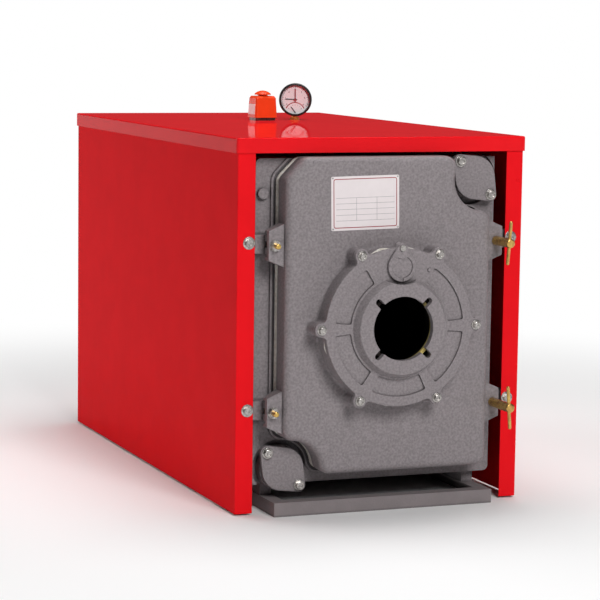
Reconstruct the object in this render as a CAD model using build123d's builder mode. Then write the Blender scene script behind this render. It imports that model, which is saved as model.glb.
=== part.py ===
from build123d import *
from math import cos, radians, sin, tan
import os

# Cast-iron sectional boiler in a red sheet-steel jacket, with a hinged burner door.
# X runs to the right, Y to the back and Z up; the origin is on the floor, mid-width and mid-depth.
# Depths are measured back from the jacket's front flanges; a reach is measured forward from them.

# Jacket of folded sheet steel
jacket_width = 660.0
jacket_depth = 1200.0
jacket_height = 800.0
sheet = 2.0
panel_floor_gap = 4.0
front_flange_width = 39.0
rear_flange_width = 24.0
panel_fold_radius = 1.5
cover_overhang = 4.0
cover_rim_height = 32.0
cover_fold_margin = 0.5
cover_corner_radius = 5.0
back_hole_gap = 5.0

# Base frame of angle iron, standing on the floor
base_inset = 24.0
base_height = 30.0
base_leg = 30.0
base_angle_wall = 4.0
base_front_reach = 37.0
base_rear_margin = 30.0

# Cast sections, standing on the base one behind the other
section_side_room = 52.0
section_head_room = 45.0
section_rear_room = 110.0
section_bottom = 58.0
section_corner = 12.0
section_port_corner = 56.0
section_seat_depth = 28.0
section_gap = 2.0
middle_section_count = 5
foot_width = 26.0
foot_length = 90.0
furnace_drop = 2.5
furnace_crown_room = 183.5
furnace_back_wall = 45.0
flueway_width = 270.0
flueway_height = 64.0
flueway_corner = 20.0
flueway_side_shift = 26.0
upper_flueway_drop = 119.0
lower_flueway_rise = 114.0

# Lip round the door's seat, water ports and cast ears on the front section
seat_margin = 9.0
seat_height = 6.0
lip_width = 4.5
port_recess_depth = 17.0
port_inset = 59.0
upper_port_drop = 45.0
lower_port_rise = 36.0
port_boss_radius = 49.0
port_recess_radius = 60.0
plug_boss_inset = 14.0
plug_boss_drop = 74.0
plug_boss_radius = 12.0
plug_boss_length = 12.0
plug_boss_edge = 2.0
lower_ear_rise = 164.0
upper_ear_drop = 179.0
ear_height = 40.0
ear_root_reach = -12.0
ear_root_overlap = 38.0
ear_jacket_gap = 12.0
flange_pad_width = 24.0

# Blanking covers on the front water ports
blank_depth = 5.0
blank_thickness = 12.0
blank_radius = 47.0
blank_lobe_radius = 15.0
blank_lobe_margin = 4.6
blank_edge = 2.0

# Hinge on the left: eye studs on upright pins between cast ears
hinge_inset = 22.0
hinge_depth = -2.0
hinge_eye_gap = 0.5
hinge_pin_radius = 4.0
hinge_pin_head = 6.5
hinge_pin_head_length = 3.0
hinge_ear_radius = 9.0
hinge_eye_radius = 8.5
hinge_eye_margin = 0.3
hinge_running_gap = 0.08
stud_radius = 6.0
stud_end_length = 12.0
stud_end_edge = 2.5
nut_flats = 19.0
nut_height = 8.0
washer_radius = 12.0
washer_thickness = 2.0

# Burner door, a deep cast dish with four lugs
door_inset = 42.0
door_bottom_rise = 28.0
door_top_rise = 5.0
door_rim_depth = 8.0
door_skirt_inset = 4.5
door_skirt_depth = 20.0
door_face_reach = 46.0
door_wall = 12.0
door_corner = 24.0
door_edge_radius = 17.0
door_notch_gap = 1.0
door_chamfer = 44.0
door_land_inset = 57.0
door_land_width = 153.0
door_land_drop = 7.0
door_land_height = 30.0
lug_tip_margin = 14.0
lug_face_reach = 28.0
lug_thickness = 12.0
lug_root_height = 96.0
lug_tip_height = 62.0
lug_root_overlap = 6.0
lug_web = 6.0
lug_web_tip_reach = 6.0
neck_inset = 2.0
neck_wall = 28.0
neck_boss_radius = 14.0
neck_root_radius = 6.0
rope_width = 7.0
seat_gap = 0.3
lining_bore_gap = 40.0
ring_bore_gap = 1.5
ring_wall = 7.0
ring_length = 10.0

# Burner plate on the door's neck
plate_face_reach = 100.0
plate_thickness = 14.0
plate_rim_width = 70.0
plate_edge = 2.0
plate_gasket_thickness = 4.0
plate_lobe_reach = 9.0
plate_bolt_count = 6
plate_bolt_hole = 5.5
plate_lobe_radius = 15.0
plate_lobe_blend = 10.0
boss_slot_margin = 10.0
boss_height = 20.0
boss_wall = 14.0
boss_side_wall = 7.0
boss_draft_angle = 24.0
boss_edge = 2.5
boss_root_radius = 2.5
burner_bore_radius = 68.0
burner_slot_depth = 20.0
burner_slot_width = 14.0
burner_slot_count = 4
burner_slot_angle = 45.0
pocket_inner_margin = 4.0
pocket_outer_margin = 21.0
pocket_depth = 4.5
pocket_corner = 4.0
pocket_angles = ((5.0, 58.0), (122.0, 175.0), (185.0, 235.0), (245.0, 295.0), (305.0, 355.0))

# Sight hole and its swinging cover
sight_boss_gap = 5.0
sight_boss_dent = 5.5
sight_pin_radius = 4.0
sight_pin_head = 6.5
sight_pin_head_length = 3.0
sight_lobe_radius = 11.0
sight_hole_radius = 7.0
sight_hole_drop = 4.0
sight_cover_drop = 40.0
sight_cover_radius = 31.5
sight_cover_eye = 9.5
sight_cover_thickness = 5.0
sight_cover_rim_width = 8.0
sight_eye_land = 22.0
sight_cover_rim_height = 2.5
sight_cover_edge = 2.0
sight_running_gap = 0.1
sight_tab_width = 6.0
sight_tab_height = 10.0
sight_stop_side = 64.5
sight_stop_rise = 121.0
sight_stop_radius = 3.5
sight_stop_height = 4.0

# Clamp screws with cross bars, on the right-hand lugs; lower one first
clamp_barrel_radius = 10.0
clamp_bar_reaches = (109.0, 92.0)
clamp_barrel_end = 9.0
clamp_barrel_edge = 3.5
clamp_shank_radius = 5.0
clamp_tip_length = 12.0
clamp_hole_gap = 0.5
clamp_bar_radius = 3.5
clamp_bar_length = 94.0
clamp_bar_edge = 2.8
clamp_bar_tilts = (-4.0, 4.0)
clamp_ear_gap = 1.5
clamp_ear_width = 26.0
clamp_ear_room = 5.0

# Water flanges and smoke outlet at the back
stub_radius = 38.0
stub_wall = 4.0
pipe_flange_edge = 15.0
pipe_flange_thickness = 16.0
pipe_flange_reach = 40.0
pipe_flange_bolt_circle = 130.0
pipe_flange_bolt_count = 4
pipe_flange_bolt_angle = 45.0
pipe_flange_hole = 7.0
hood_width = 330.0
hood_height = 580.0
hood_length = 70.0
hood_wall = 6.0
hood_corner = 30.0
flue_radius = 100.0
flue_wall = 4.0
flue_root_swell = 2.0
flue_reach = 80.0
flue_rise = 66.0

# Thermostat on the top cover
thermostat_side = 14.0
thermostat_lead = 8.0
thermostat_pocket_radius = 7.0
fitting_hole_gap = 1.0
thermostat_base_inset = 3.0
thermostat_base_height = 7.0
thermostat_width = 60.0
thermostat_length = 49.0
thermostat_height = 52.0
thermostat_corner = 7.0
thermostat_draft_angle = 4.0
thermostat_edge = 5.0
thermostat_shoulder_angle = 40.0
thermostat_turn = 5.5
knob_stem_radius = 12.0
knob_stem_height = 3.0
knob_radius = 20.0
knob_rim_height = 2.0
knob_height = 13.0

# Pressure and temperature gauge on the top cover
gauge_side = 109.0
gauge_setback = 19.0
gauge_rise = 49.0
gauge_turn = 15.0
gauge_radius = 38.0
gauge_length = 28.0
gauge_back = 3.0
gauge_wall = 2.0
bezel_overlap = 2.5
bezel_stem_gap = 0.5
bezel_edge = 2.0
bezel_lip_width = 5.5
bezel_lip_length = 3.0
gauge_glass_thickness = 2.0
gauge_dial_thickness = 1.5
gauge_dial_drop = 9.0
gauge_stem_radius = 7.0
gauge_nut_flats = 22.0
gauge_nut_height = 6.0

# One overrun serves every through cut
overrun = 5.0

# Places that follow from the sizes above
boss_face_reach = plate_face_reach + boss_height
front_y = -(boss_face_reach + jacket_depth + flue_reach) / 2 + boss_face_reach
cover_underside = jacket_height - sheet
cover_fold_radius = cover_overhang - cover_fold_margin
section_width = jacket_width - 2 * section_side_room
section_side = section_width / 2
section_top = jacket_height - section_head_room
section_face_depth = section_seat_depth + seat_height
stack_end_depth = jacket_depth - section_rear_room
section_pitch = (stack_end_depth + section_gap - section_seat_depth) / (middle_section_count + 2)
section_thickness = section_pitch - section_gap
rear_section_depth = stack_end_depth - section_thickness
furnace_radius = (section_top - section_bottom) / 2 - furnace_crown_room
furnace_axis_height = (section_top + section_bottom) / 2 - furnace_drop
base_width = section_width - 2 * base_inset
base_rear_depth = stack_end_depth + base_rear_margin
rail_side = (base_width - base_leg) / 2
port_side = section_side - port_inset
port_places = ((port_side, section_top - upper_port_drop), (-port_side, section_bottom + lower_port_rise))
ear_heights = (section_bottom + lower_ear_rise, section_top - upper_ear_drop)
ear_inner_side = section_side - ear_root_overlap
ear_outer_side = jacket_width / 2 - ear_jacket_gap
blank_back_depth = blank_depth + blank_thickness
blank_lobe_place = blank_radius + blank_lobe_margin
blank_bolt_offset = blank_lobe_place * cos(radians(45))
hinge_side = section_side - hinge_inset
hinge_eye_height = 2 * (stud_radius + hinge_eye_margin)
hinge_slot = hinge_eye_height + 2 * hinge_eye_gap
door_width = section_width - 2 * door_inset
door_side = door_width / 2
door_bottom = section_bottom + door_bottom_rise
door_top = section_top + door_top_rise
door_mid_height = (door_bottom + door_top) / 2
door_notch_radius = blank_lobe_place + blank_lobe_radius + door_notch_gap
lug_root_side = door_side - lug_root_overlap
lug_side = hinge_side + lug_tip_margin
lug_back_reach = lug_face_reach - lug_thickness
stud_reach = lug_face_reach + washer_thickness + nut_height + stud_end_length
clamp_ear_reach = lug_back_reach - clamp_ear_room
boss_radius = burner_bore_radius + burner_slot_depth + boss_slot_margin
boss_foot_radius = boss_radius + boss_height * tan(radians(boss_draft_angle))
boss_hollow_radius = boss_radius - boss_side_wall
burner_slot_end = burner_bore_radius + burner_slot_depth
plate_radius = boss_radius + plate_rim_width
plate_bolt_radius = plate_radius + plate_lobe_reach
plate_back_reach = plate_face_reach - plate_thickness
pocket_inner = boss_foot_radius + pocket_inner_margin
pocket_outer = plate_radius - pocket_outer_margin
neck_radius = plate_radius - neck_inset
neck_bore_radius = neck_radius - neck_wall
neck_end_reach = plate_back_reach - plate_gasket_thickness
lining_bore_radius = burner_bore_radius + lining_bore_gap
sight_swing_radius = sight_cover_drop + sight_cover_radius + sight_boss_gap
sight_pin_rise = boss_radius - sight_boss_dent + sight_swing_radius
sight_pin_height = furnace_axis_height + sight_pin_rise
sight_cover_height = sight_pin_height - sight_cover_drop
sight_hole_rise = sight_pin_rise - sight_cover_drop - sight_hole_drop
pipe_flange_radius = pipe_flange_bolt_circle / 2 + pipe_flange_edge
flue_height = furnace_axis_height + flue_rise
fitting_depth = section_seat_depth + middle_section_count * section_pitch
thermostat_depth = fitting_depth - thermostat_lead
gauge_depth = fitting_depth + gauge_setback
gauge_height = jacket_height + gauge_rise
gauge_front = gauge_length / 2
bezel_length = gauge_front - gauge_stem_radius - bezel_stem_gap
bezel_radius = gauge_radius + bezel_overlap
gauge_cavity_radius = gauge_radius - gauge_wall


def front_plane(depth, side=0, height=0):
    """Upright plane facing the front, a depth behind the jacket's front flanges."""
    return Plane(origin=(side, front_y + depth, height), x_dir=(1, 0, 0), z_dir=(0, -1, 0))


def level_plane(height, side=0, depth=0):
    """Level plane at a height, its centre a side and a depth from the jacket's front middle."""
    return Plane(origin=(side, front_y + depth, height), x_dir=(1, 0, 0), z_dir=(0, 0, 1))


def write(builder, name):
    """Label a finished piece and write it as a STEP file."""
    builder.part.label = name
    export_step(builder.part, f"parts/{name}.step")


os.makedirs("parts", exist_ok=True)

# Jacket panels


def make_side_panel(name, hand):
    """Side panel with a return flange at the front and back; hand is -1 left or 1 right."""
    panel_depth = jacket_depth - sheet
    with BuildPart() as panel:
        with BuildSketch(level_plane(panel_floor_gap)):
            with Locations((hand * (jacket_width - sheet) / 2, panel_depth / 2)):
                Rectangle(sheet, panel_depth)
            with Locations((hand * (jacket_width - front_flange_width) / 2, sheet / 2)):
                Rectangle(front_flange_width, sheet)
            with Locations((hand * (jacket_width - rear_flange_width) / 2, panel_depth - sheet / 2)):
                Rectangle(rear_flange_width, sheet)
        extrude(amount=cover_underside - panel_floor_gap)
        outer_edges = panel.edges().filter_by(Axis.Z).sort_by(Axis.X, reverse=hand > 0)[:2]
        fillet(outer_edges, panel_fold_radius)
    write(panel, name)


make_side_panel("left_side_panel", -1)
make_side_panel("right_side_panel", 1)

with BuildPart() as top_cover:
    with BuildSketch(level_plane(jacket_height - cover_rim_height, depth=jacket_depth / 2)):
        RectangleRounded(jacket_width + 2 * cover_overhang, jacket_depth + 2 * cover_overhang,
                         cover_corner_radius)
    extrude(amount=cover_rim_height)
    fillet(top_cover.faces().sort_by(Axis.Z)[-1].edges(), cover_fold_radius)
    offset(amount=-sheet, openings=top_cover.faces().sort_by(Axis.Z)[0])
    with BuildSketch(level_plane(jacket_height + overrun)):
        with Locations((thermostat_side, thermostat_depth)):
            Circle(thermostat_pocket_radius + fitting_hole_gap)
        with Locations((gauge_side, gauge_depth)):
            Circle(gauge_stem_radius + fitting_hole_gap)
    extrude(amount=-cover_rim_height, mode=Mode.SUBTRACT)
write(top_cover, "top_cover")

with BuildPart() as back_panel:
    with BuildSketch(front_plane(jacket_depth)):
        with Locations((0, (panel_floor_gap + cover_underside) / 2)):
            Rectangle(jacket_width, cover_underside - panel_floor_gap)
        with Locations((0, flue_height)):
            Circle(flue_radius + back_hole_gap, mode=Mode.SUBTRACT)
        with Locations(*port_places):
            Circle(stub_radius + back_hole_gap, mode=Mode.SUBTRACT)
    extrude(amount=sheet)
write(back_panel, "back_panel")

# Base frame


def make_base_end(name, outer_depth, inward):
    """Cross angle with its upright leg outside; inward is 1 at the front and -1 at the back."""
    with BuildPart() as angle:
        with BuildSketch(level_plane(0, depth=outer_depth + inward * base_angle_wall / 2)):
            Rectangle(base_width, base_angle_wall)
        extrude(amount=base_height)
        with BuildSketch(level_plane(base_height, depth=outer_depth + inward * base_leg / 2)):
            Rectangle(base_width, base_leg)
        extrude(amount=-base_angle_wall)
    write(angle, name)


def make_base_rail(name, hand):
    """Side angle between the cross angles, its level leg turned in under the sections."""
    base_length = base_rear_depth + base_front_reach
    mid_depth = base_rear_depth - base_length / 2
    with BuildPart() as rail:
        with BuildSketch(level_plane(0, hand * (base_width - base_angle_wall) / 2, mid_depth)):
            Rectangle(base_angle_wall, base_length - 2 * base_angle_wall)
        extrude(amount=base_height - base_angle_wall)
        with BuildSketch(level_plane(base_height, hand * rail_side, mid_depth)):
            Rectangle(base_leg, base_length - 2 * base_leg)
        extrude(amount=-base_angle_wall)
    write(rail, name)


make_base_end("base_front_angle", -base_front_reach, 1)
make_base_end("base_rear_angle", base_rear_depth, -1)
make_base_rail("base_left_rail", -1)
make_base_rail("base_right_rail", 1)

# Cast sections


with BuildSketch() as section_shape:
    with Locations((0, (section_top + section_bottom) / 2)):
        Rectangle(section_width, section_top - section_bottom)
    square_corners = [section_shape.vertices().sort_by_distance(corner)[0]
                      for corner in ((-section_side, section_top), (section_side, section_bottom))]
    port_corners = [section_shape.vertices().sort_by_distance(place)[0] for place in port_places]
    fillet(square_corners, section_corner)
    fillet(port_corners, section_port_corner)
    with Locations((-flueway_side_shift, section_top - upper_flueway_drop),
                   (flueway_side_shift, section_bottom + lower_flueway_rise)):
        RectangleRounded(flueway_width, flueway_height, flueway_corner, mode=Mode.SUBTRACT)


def section_feet():
    """A section's two feet on the base rails, for the sketch in hand."""
    foot_top = section_bottom + section_port_corner
    with Locations((rail_side, (base_height + foot_top) / 2), (-rail_side, (base_height + foot_top) / 2)):
        Rectangle(foot_width, foot_top - base_height)


def make_section(name, start_depth, furnace_length):
    """Plain section from a depth back, its furnace cut to a length from the front."""
    with BuildPart() as section:
        with BuildSketch(front_plane(start_depth)):
            add(section_shape.sketch)
        extrude(amount=-section_thickness)
        with BuildSketch(front_plane(start_depth + (section_thickness - foot_length) / 2)):
            section_feet()
        extrude(amount=-foot_length)
        with BuildSketch(front_plane(start_depth, height=furnace_axis_height)):
            Circle(furnace_radius)
        extrude(amount=-furnace_length, mode=Mode.SUBTRACT)
    write(section, name)


for number in range(1, middle_section_count + 1):
    make_section(f"middle_section_{number}", section_seat_depth + number * section_pitch, section_thickness)
make_section("rear_section", rear_section_depth, section_thickness - furnace_back_wall)

def door_outline():
    """Door outline for the sketch in hand, notched at two corners round the water ports."""
    with Locations((0, door_mid_height)):
        Rectangle(door_width, door_top - door_bottom)
    with Locations(*port_places):
        Circle(door_notch_radius, mode=Mode.SUBTRACT)


def door_corners(sketch):
    """Cut the upper left corner of the door's outline and round all its corners."""
    chamfer(sketch.vertices().sort_by_distance((-door_side, door_top))[0], door_chamfer)
    fillet(sketch.vertices(), door_corner)


with BuildPart() as front_section:
    with BuildSketch(front_plane(section_face_depth)):
        add(section_shape.sketch)
    extrude(amount=-(section_thickness - seat_height))
    with BuildSketch(front_plane(section_seat_depth + (section_thickness - foot_length) / 2)):
        section_feet()
    extrude(amount=-foot_length)
    # Raised lip that follows the door round its rope, cut back at the bosses of the water ports
    with BuildSketch(front_plane(section_seat_depth)) as lip_sketch:
        door_outline()
        door_corners(lip_sketch)
        offset(amount=seat_margin)
        add(section_shape.sketch, mode=Mode.INTERSECT)
    extrude(amount=-seat_height)
    with BuildSketch(front_plane(section_seat_depth)) as groove_sketch:
        door_outline()
        door_corners(groove_sketch)
        offset(amount=seat_margin - lip_width)
    extrude(amount=-seat_height, mode=Mode.SUBTRACT)
    with BuildSketch(front_plane(section_seat_depth)):
        with Locations(*port_places):
            Circle(port_recess_radius)
    extrude(amount=-port_recess_depth, mode=Mode.SUBTRACT)
    with BuildSketch(front_plane(blank_back_depth)):
        with Locations(*port_places):
            Circle(port_boss_radius)
    extrude(amount=-(section_seat_depth + port_recess_depth - blank_back_depth))
    with BuildSketch(front_plane(section_face_depth)):
        with Locations((plug_boss_inset - section_side, section_top - plug_boss_drop)):
            Circle(plug_boss_radius)
    extrude(amount=plug_boss_length)
    fillet(front_section.edges(Select.LAST).sort_by(Axis.Y)[0], plug_boss_edge)
    # Ears at the four corners of the door, each with a pad behind the jacket's flange
    for height in ear_heights:
        for hand in (-1, 1):
            with BuildSketch(front_plane(-ear_root_reach)):
                with Locations((hand * (ear_inner_side + ear_outer_side) / 2, height)):
                    Rectangle(ear_outer_side - ear_inner_side, ear_height)
            extrude(amount=-(section_face_depth + ear_root_reach))
            with BuildSketch(front_plane(sheet)):
                with Locations((hand * (ear_outer_side - flange_pad_width / 2), height)):
                    Rectangle(flange_pad_width, ear_height)
            extrude(amount=-(section_face_depth - sheet))
    # Left-hand ears are clevises for the eye studs
    for height in ear_heights:
        with BuildSketch(level_plane(height - ear_height / 2, -hinge_side)):
            with Locations((0, hinge_depth)):
                Circle(hinge_ear_radius)
            with Locations((0, (hinge_depth - ear_root_reach) / 2)):
                Rectangle(2 * hinge_ear_radius, -ear_root_reach - hinge_depth)
        extrude(amount=ear_height)
        with BuildSketch(level_plane(height - hinge_slot / 2, -hinge_side)):
            with Locations((0, (hinge_depth - ear_root_reach) / 2)):
                Rectangle(2 * (hinge_ear_radius + overrun), -ear_root_reach - hinge_depth)
            with Locations((0, hinge_depth)):
                Circle(hinge_ear_radius + overrun)
        extrude(amount=hinge_slot, mode=Mode.SUBTRACT)
        with BuildSketch(level_plane(height - ear_height / 2 - overrun, -hinge_side, hinge_depth)):
            Circle(hinge_pin_radius + hinge_running_gap)
        extrude(amount=ear_height + 2 * overrun, mode=Mode.SUBTRACT)
    # Right-hand ears take the clamp screws' tips
    for height in ear_heights:
        with BuildSketch(front_plane(-clamp_ear_reach, hinge_side, height)):
            Rectangle(clamp_ear_width, ear_height)
        extrude(amount=-(clamp_ear_reach - ear_root_reach))
        with BuildSketch(front_plane(-clamp_ear_reach, hinge_side, height)):
            Circle(clamp_shank_radius + clamp_ear_gap)
        extrude(amount=-(clamp_ear_reach + section_seat_depth), mode=Mode.SUBTRACT)
    with BuildSketch(front_plane(section_seat_depth, height=furnace_axis_height)):
        Circle(furnace_radius)
    extrude(amount=-section_thickness, mode=Mode.SUBTRACT)
write(front_section, "front_section")

# Blanking covers, two-bolt ovals over the front water ports


def make_blank(name, place):
    """Oval blanking cover at a port, its bolts up to the left and down to the right."""
    with BuildPart() as blank:
        with BuildSketch(front_plane(blank_back_depth, place[0], place[1])):
            Circle(blank_radius)
            with Locations((-blank_bolt_offset, blank_bolt_offset), (blank_bolt_offset, -blank_bolt_offset)):
                Circle(blank_lobe_radius)
            make_hull()
        extrude(amount=blank_thickness)
        fillet(blank.faces().sort_by(Axis.Y)[0].edges(), blank_edge)
    write(blank, name)


make_blank("upper_port_cover", port_places[0])
make_blank("lower_port_cover", port_places[1])

# Hinge pins, eye studs and nuts

with BuildPart() as hinge_pins:
    for height in ear_heights:
        with BuildSketch(level_plane(height - ear_height / 2, -hinge_side, hinge_depth)):
            Circle(hinge_pin_radius)
        extrude(amount=ear_height)
        with BuildSketch(level_plane(height + ear_height / 2, -hinge_side, hinge_depth)):
            Circle(hinge_pin_head)
        extrude(amount=hinge_pin_head_length)
write(hinge_pins, "hinge_pins")


def make_stud(name, height):
    """Eye stud from the hinge pin out through the door's lug."""
    with BuildPart() as stud:
        with BuildSketch(front_plane(hinge_depth, -hinge_side, height)):
            Circle(stud_radius)
        extrude(amount=stud_reach + hinge_depth)
        fillet(stud.faces().sort_by(Axis.Y)[0].edges(), stud_end_edge)
        with BuildSketch(level_plane(height - hinge_eye_height / 2, -hinge_side, hinge_depth)):
            Circle(hinge_eye_radius)
        extrude(amount=hinge_eye_height)
        with BuildSketch(level_plane(height - hinge_eye_height, -hinge_side, hinge_depth)):
            Circle(hinge_pin_radius + hinge_running_gap)
        extrude(amount=2 * hinge_eye_height, mode=Mode.SUBTRACT)
    write(stud, name)


make_stud("lower_hinge_stud", ear_heights[0])
make_stud("upper_hinge_stud", ear_heights[1])

with BuildPart() as hinge_nuts:
    for height in ear_heights:
        with BuildSketch(front_plane(-lug_face_reach, -hinge_side, height)):
            Circle(washer_radius)
            Circle(stud_radius, mode=Mode.SUBTRACT)
        extrude(amount=washer_thickness)
        with BuildSketch(front_plane(-lug_face_reach - washer_thickness, -hinge_side, height)):
            RegularPolygon(nut_flats / 2, 6, major_radius=False)
            Circle(stud_radius, mode=Mode.SUBTRACT)
        extrude(amount=nut_height)
write(hinge_nuts, "hinge_nuts")

# Burner door

with BuildPart() as burner_door:
    with BuildSketch(front_plane(door_rim_depth)) as door_sketch:
        door_outline()
        door_corners(door_sketch)
    extrude(amount=door_rim_depth + door_face_reach)
    fillet(burner_door.faces().sort_by(Axis.Y)[0].edges(), door_edge_radius)
    # Skirt behind the rim, which presses on the rope
    with BuildSketch(front_plane(door_rim_depth)) as skirt_sketch:
        door_outline()
        door_corners(skirt_sketch)
        offset(amount=-door_skirt_inset)
    extrude(amount=-(door_skirt_depth - door_rim_depth))
    # Flat land cast into the rounded upper edge
    with BuildSketch(front_plane(-door_face_reach)):
        with Locations((door_land_inset + door_land_width / 2 - door_side,
                        door_top - door_land_drop - door_land_height / 2)):
            Rectangle(door_land_width, door_land_height)
    extrude(amount=-door_wall)
    # Lugs for the hinge studs and the clamp screws, with webs that run out along the door's side
    for height in ear_heights:
        for hand, shank_radius in ((-1, stud_radius), (1, clamp_shank_radius)):
            with BuildSketch(front_plane(-lug_back_reach, 0, height)):
                with BuildLine():
                    Polyline((hand * lug_root_side, -lug_root_height / 2),
                             (hand * lug_side, -lug_tip_height / 2),
                             (hand * lug_side, lug_tip_height / 2),
                             (hand * lug_root_side, lug_root_height / 2), close=True)
                make_face()
            extrude(amount=lug_thickness)
            for edge in (-1, 1):
                with BuildSketch(front_plane(door_rim_depth, 0, height)):
                    with BuildLine():
                        Polyline((hand * lug_root_side, edge * lug_root_height / 2),
                                 (hand * lug_side, edge * lug_tip_height / 2),
                                 (hand * lug_side, edge * (lug_tip_height / 2 - lug_web)),
                                 (hand * lug_root_side, edge * (lug_root_height / 2 - lug_web)), close=True)
                    make_face()
                extrude(amount=door_rim_depth + lug_back_reach)
            with BuildSketch(level_plane(height - lug_root_height / 2)):
                with BuildLine():
                    Polyline((hand * door_side, door_rim_depth), (hand * lug_side, door_rim_depth),
                             (hand * lug_side, -lug_web_tip_reach), close=True)
                make_face()
            extrude(amount=lug_root_height, mode=Mode.SUBTRACT)
            with BuildSketch(front_plane(-lug_back_reach, hand * hinge_side, height)):
                Circle(shank_radius + clamp_hole_gap)
            extrude(amount=lug_thickness, mode=Mode.SUBTRACT)
    # Round neck with bolt bosses for the burner plate
    with BuildSketch(front_plane(-door_face_reach + door_wall, height=furnace_axis_height)) as neck_sketch:
        Circle(neck_radius)
        with PolarLocations(plate_bolt_radius, plate_bolt_count):
            Circle(neck_boss_radius)
        fillet(neck_sketch.vertices(), plate_lobe_blend)
    extrude(amount=neck_end_reach - door_face_reach + door_wall)
    door_face_y = front_y - door_face_reach
    neck_root = burner_door.edges(Select.LAST).filter_by_position(Axis.Y, door_face_y - seat_gap,
                                                                  door_face_y + seat_gap)
    fillet(neck_root, neck_root_radius)
    with BuildSketch(front_plane(door_skirt_depth)) as hollow_sketch:
        door_outline()
        door_corners(hollow_sketch)
        offset(amount=-door_wall)
    extrude(amount=door_skirt_depth + door_face_reach - door_wall, mode=Mode.SUBTRACT)
    with BuildSketch(front_plane(0, height=furnace_axis_height)):
        Circle(neck_bore_radius)
    extrude(amount=plate_face_reach, mode=Mode.SUBTRACT)
write(burner_door, "burner_door")

with BuildPart() as door_lining:
    with BuildSketch(front_plane(door_rim_depth)) as lining_sketch:
        door_outline()
        door_corners(lining_sketch)
        offset(amount=-(door_wall + seat_gap))
    extrude(amount=door_rim_depth + door_face_reach - door_wall - seat_gap)
    with BuildSketch(front_plane(0, height=furnace_axis_height)):
        Circle(neck_bore_radius - seat_gap)
    extrude(amount=plate_back_reach - seat_gap)
    with BuildSketch(front_plane(door_rim_depth, height=furnace_axis_height)):
        Circle(lining_bore_radius)
        with Locations((0, sight_hole_rise)):
            Circle(sight_hole_radius)
    extrude(amount=door_rim_depth + plate_face_reach, mode=Mode.SUBTRACT)
write(door_lining, "door_lining")

with BuildPart() as door_rope:
    rope_depth = section_face_depth - seat_gap
    with BuildSketch(front_plane(rope_depth)) as rope_sketch:
        door_outline()
        door_corners(rope_sketch)
        offset(amount=-door_skirt_inset)
    extrude(amount=rope_depth - door_skirt_depth)
    with BuildSketch(front_plane(rope_depth)) as rope_inner:
        door_outline()
        door_corners(rope_inner)
        offset(amount=-(door_skirt_inset + rope_width))
    extrude(amount=rope_depth - door_skirt_depth, mode=Mode.SUBTRACT)
write(door_rope, "door_rope")

# Burner plate with its gasket


def plate_outline(sketch):
    """Round plate with bolt lobes and a lobe for the sight cover, for the sketch in hand."""
    Circle(plate_radius)
    with PolarLocations(plate_bolt_radius, plate_bolt_count):
        Circle(plate_lobe_radius)
    with Locations((0, sight_pin_rise)):
        Circle(sight_lobe_radius)
    fillet(sketch.vertices(), plate_lobe_blend)
    with PolarLocations(plate_bolt_radius, plate_bolt_count):
        Circle(plate_bolt_hole, mode=Mode.SUBTRACT)


with BuildPart() as plate_gasket:
    with BuildSketch(front_plane(-neck_end_reach, height=furnace_axis_height)):
        Circle(neck_radius)
        Circle(neck_bore_radius, mode=Mode.SUBTRACT)
    extrude(amount=plate_gasket_thickness)
write(plate_gasket, "plate_gasket")

with BuildPart() as burner_plate:
    with BuildSketch(front_plane(-plate_back_reach, height=furnace_axis_height)) as plate_sketch:
        plate_outline(plate_sketch)
    extrude(amount=plate_thickness)
    fillet(burner_plate.faces().sort_by(Axis.Y)[0].outer_wire().edges(), plate_edge)
    with BuildSketch(front_plane(-plate_face_reach, height=furnace_axis_height)):
        Circle(boss_foot_radius)
    extrude(amount=boss_height, taper=boss_draft_angle)
    fillet(burner_plate.edges(Select.LAST).filter_by(GeomType.CIRCLE).sort_by(Axis.Y)[-1], boss_root_radius)
    fillet(burner_plate.faces().sort_by(Axis.Y)[0].edges(), boss_edge)
    # Dent in the boss where the sight cover swings past, and the cover's stop
    with BuildSketch(front_plane(-plate_face_reach, 0, sight_pin_height)):
        Circle(sight_swing_radius)
    extrude(amount=boss_height, mode=Mode.SUBTRACT)
    with BuildSketch(front_plane(-plate_face_reach, sight_stop_side, furnace_axis_height + sight_stop_rise)):
        Circle(sight_stop_radius)
    extrude(amount=sight_stop_height)
    # Arc pockets round the boss
    for first, last in pocket_angles:
        with BuildSketch(front_plane(-plate_face_reach, height=furnace_axis_height)) as pocket:
            Circle(pocket_outer)
            Circle(pocket_inner, mode=Mode.SUBTRACT)
            with BuildLine():
                Polyline((0, 0),
                         *[(2 * pocket_outer * cos(radians(turn)), 2 * pocket_outer * sin(radians(turn)))
                           for turn in (first, (first + last) / 2, last)], close=True)
            make_face(mode=Mode.INTERSECT)
            fillet(pocket.vertices(), pocket_corner)
        extrude(amount=-pocket_depth, mode=Mode.SUBTRACT)
    # Hollow behind the boss, the burner bore with its four slots, and the sight hole
    with BuildSketch(front_plane(-plate_back_reach, height=furnace_axis_height)):
        Circle(boss_hollow_radius)
    extrude(amount=boss_face_reach - boss_wall - plate_back_reach, mode=Mode.SUBTRACT)
    with BuildSketch(front_plane(-plate_back_reach, height=furnace_axis_height)):
        Circle(burner_bore_radius)
        with PolarLocations(burner_slot_end / 2, burner_slot_count, start_angle=burner_slot_angle):
            SlotOverall(burner_slot_end, burner_slot_width)
        with Locations((0, sight_hole_rise)):
            Circle(sight_hole_radius)
    extrude(amount=boss_face_reach, mode=Mode.SUBTRACT)
    with BuildSketch(front_plane(-plate_back_reach, 0, sight_pin_height)):
        Circle(sight_pin_radius)
    extrude(amount=plate_thickness, mode=Mode.SUBTRACT)
write(burner_plate, "burner_plate")

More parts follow.
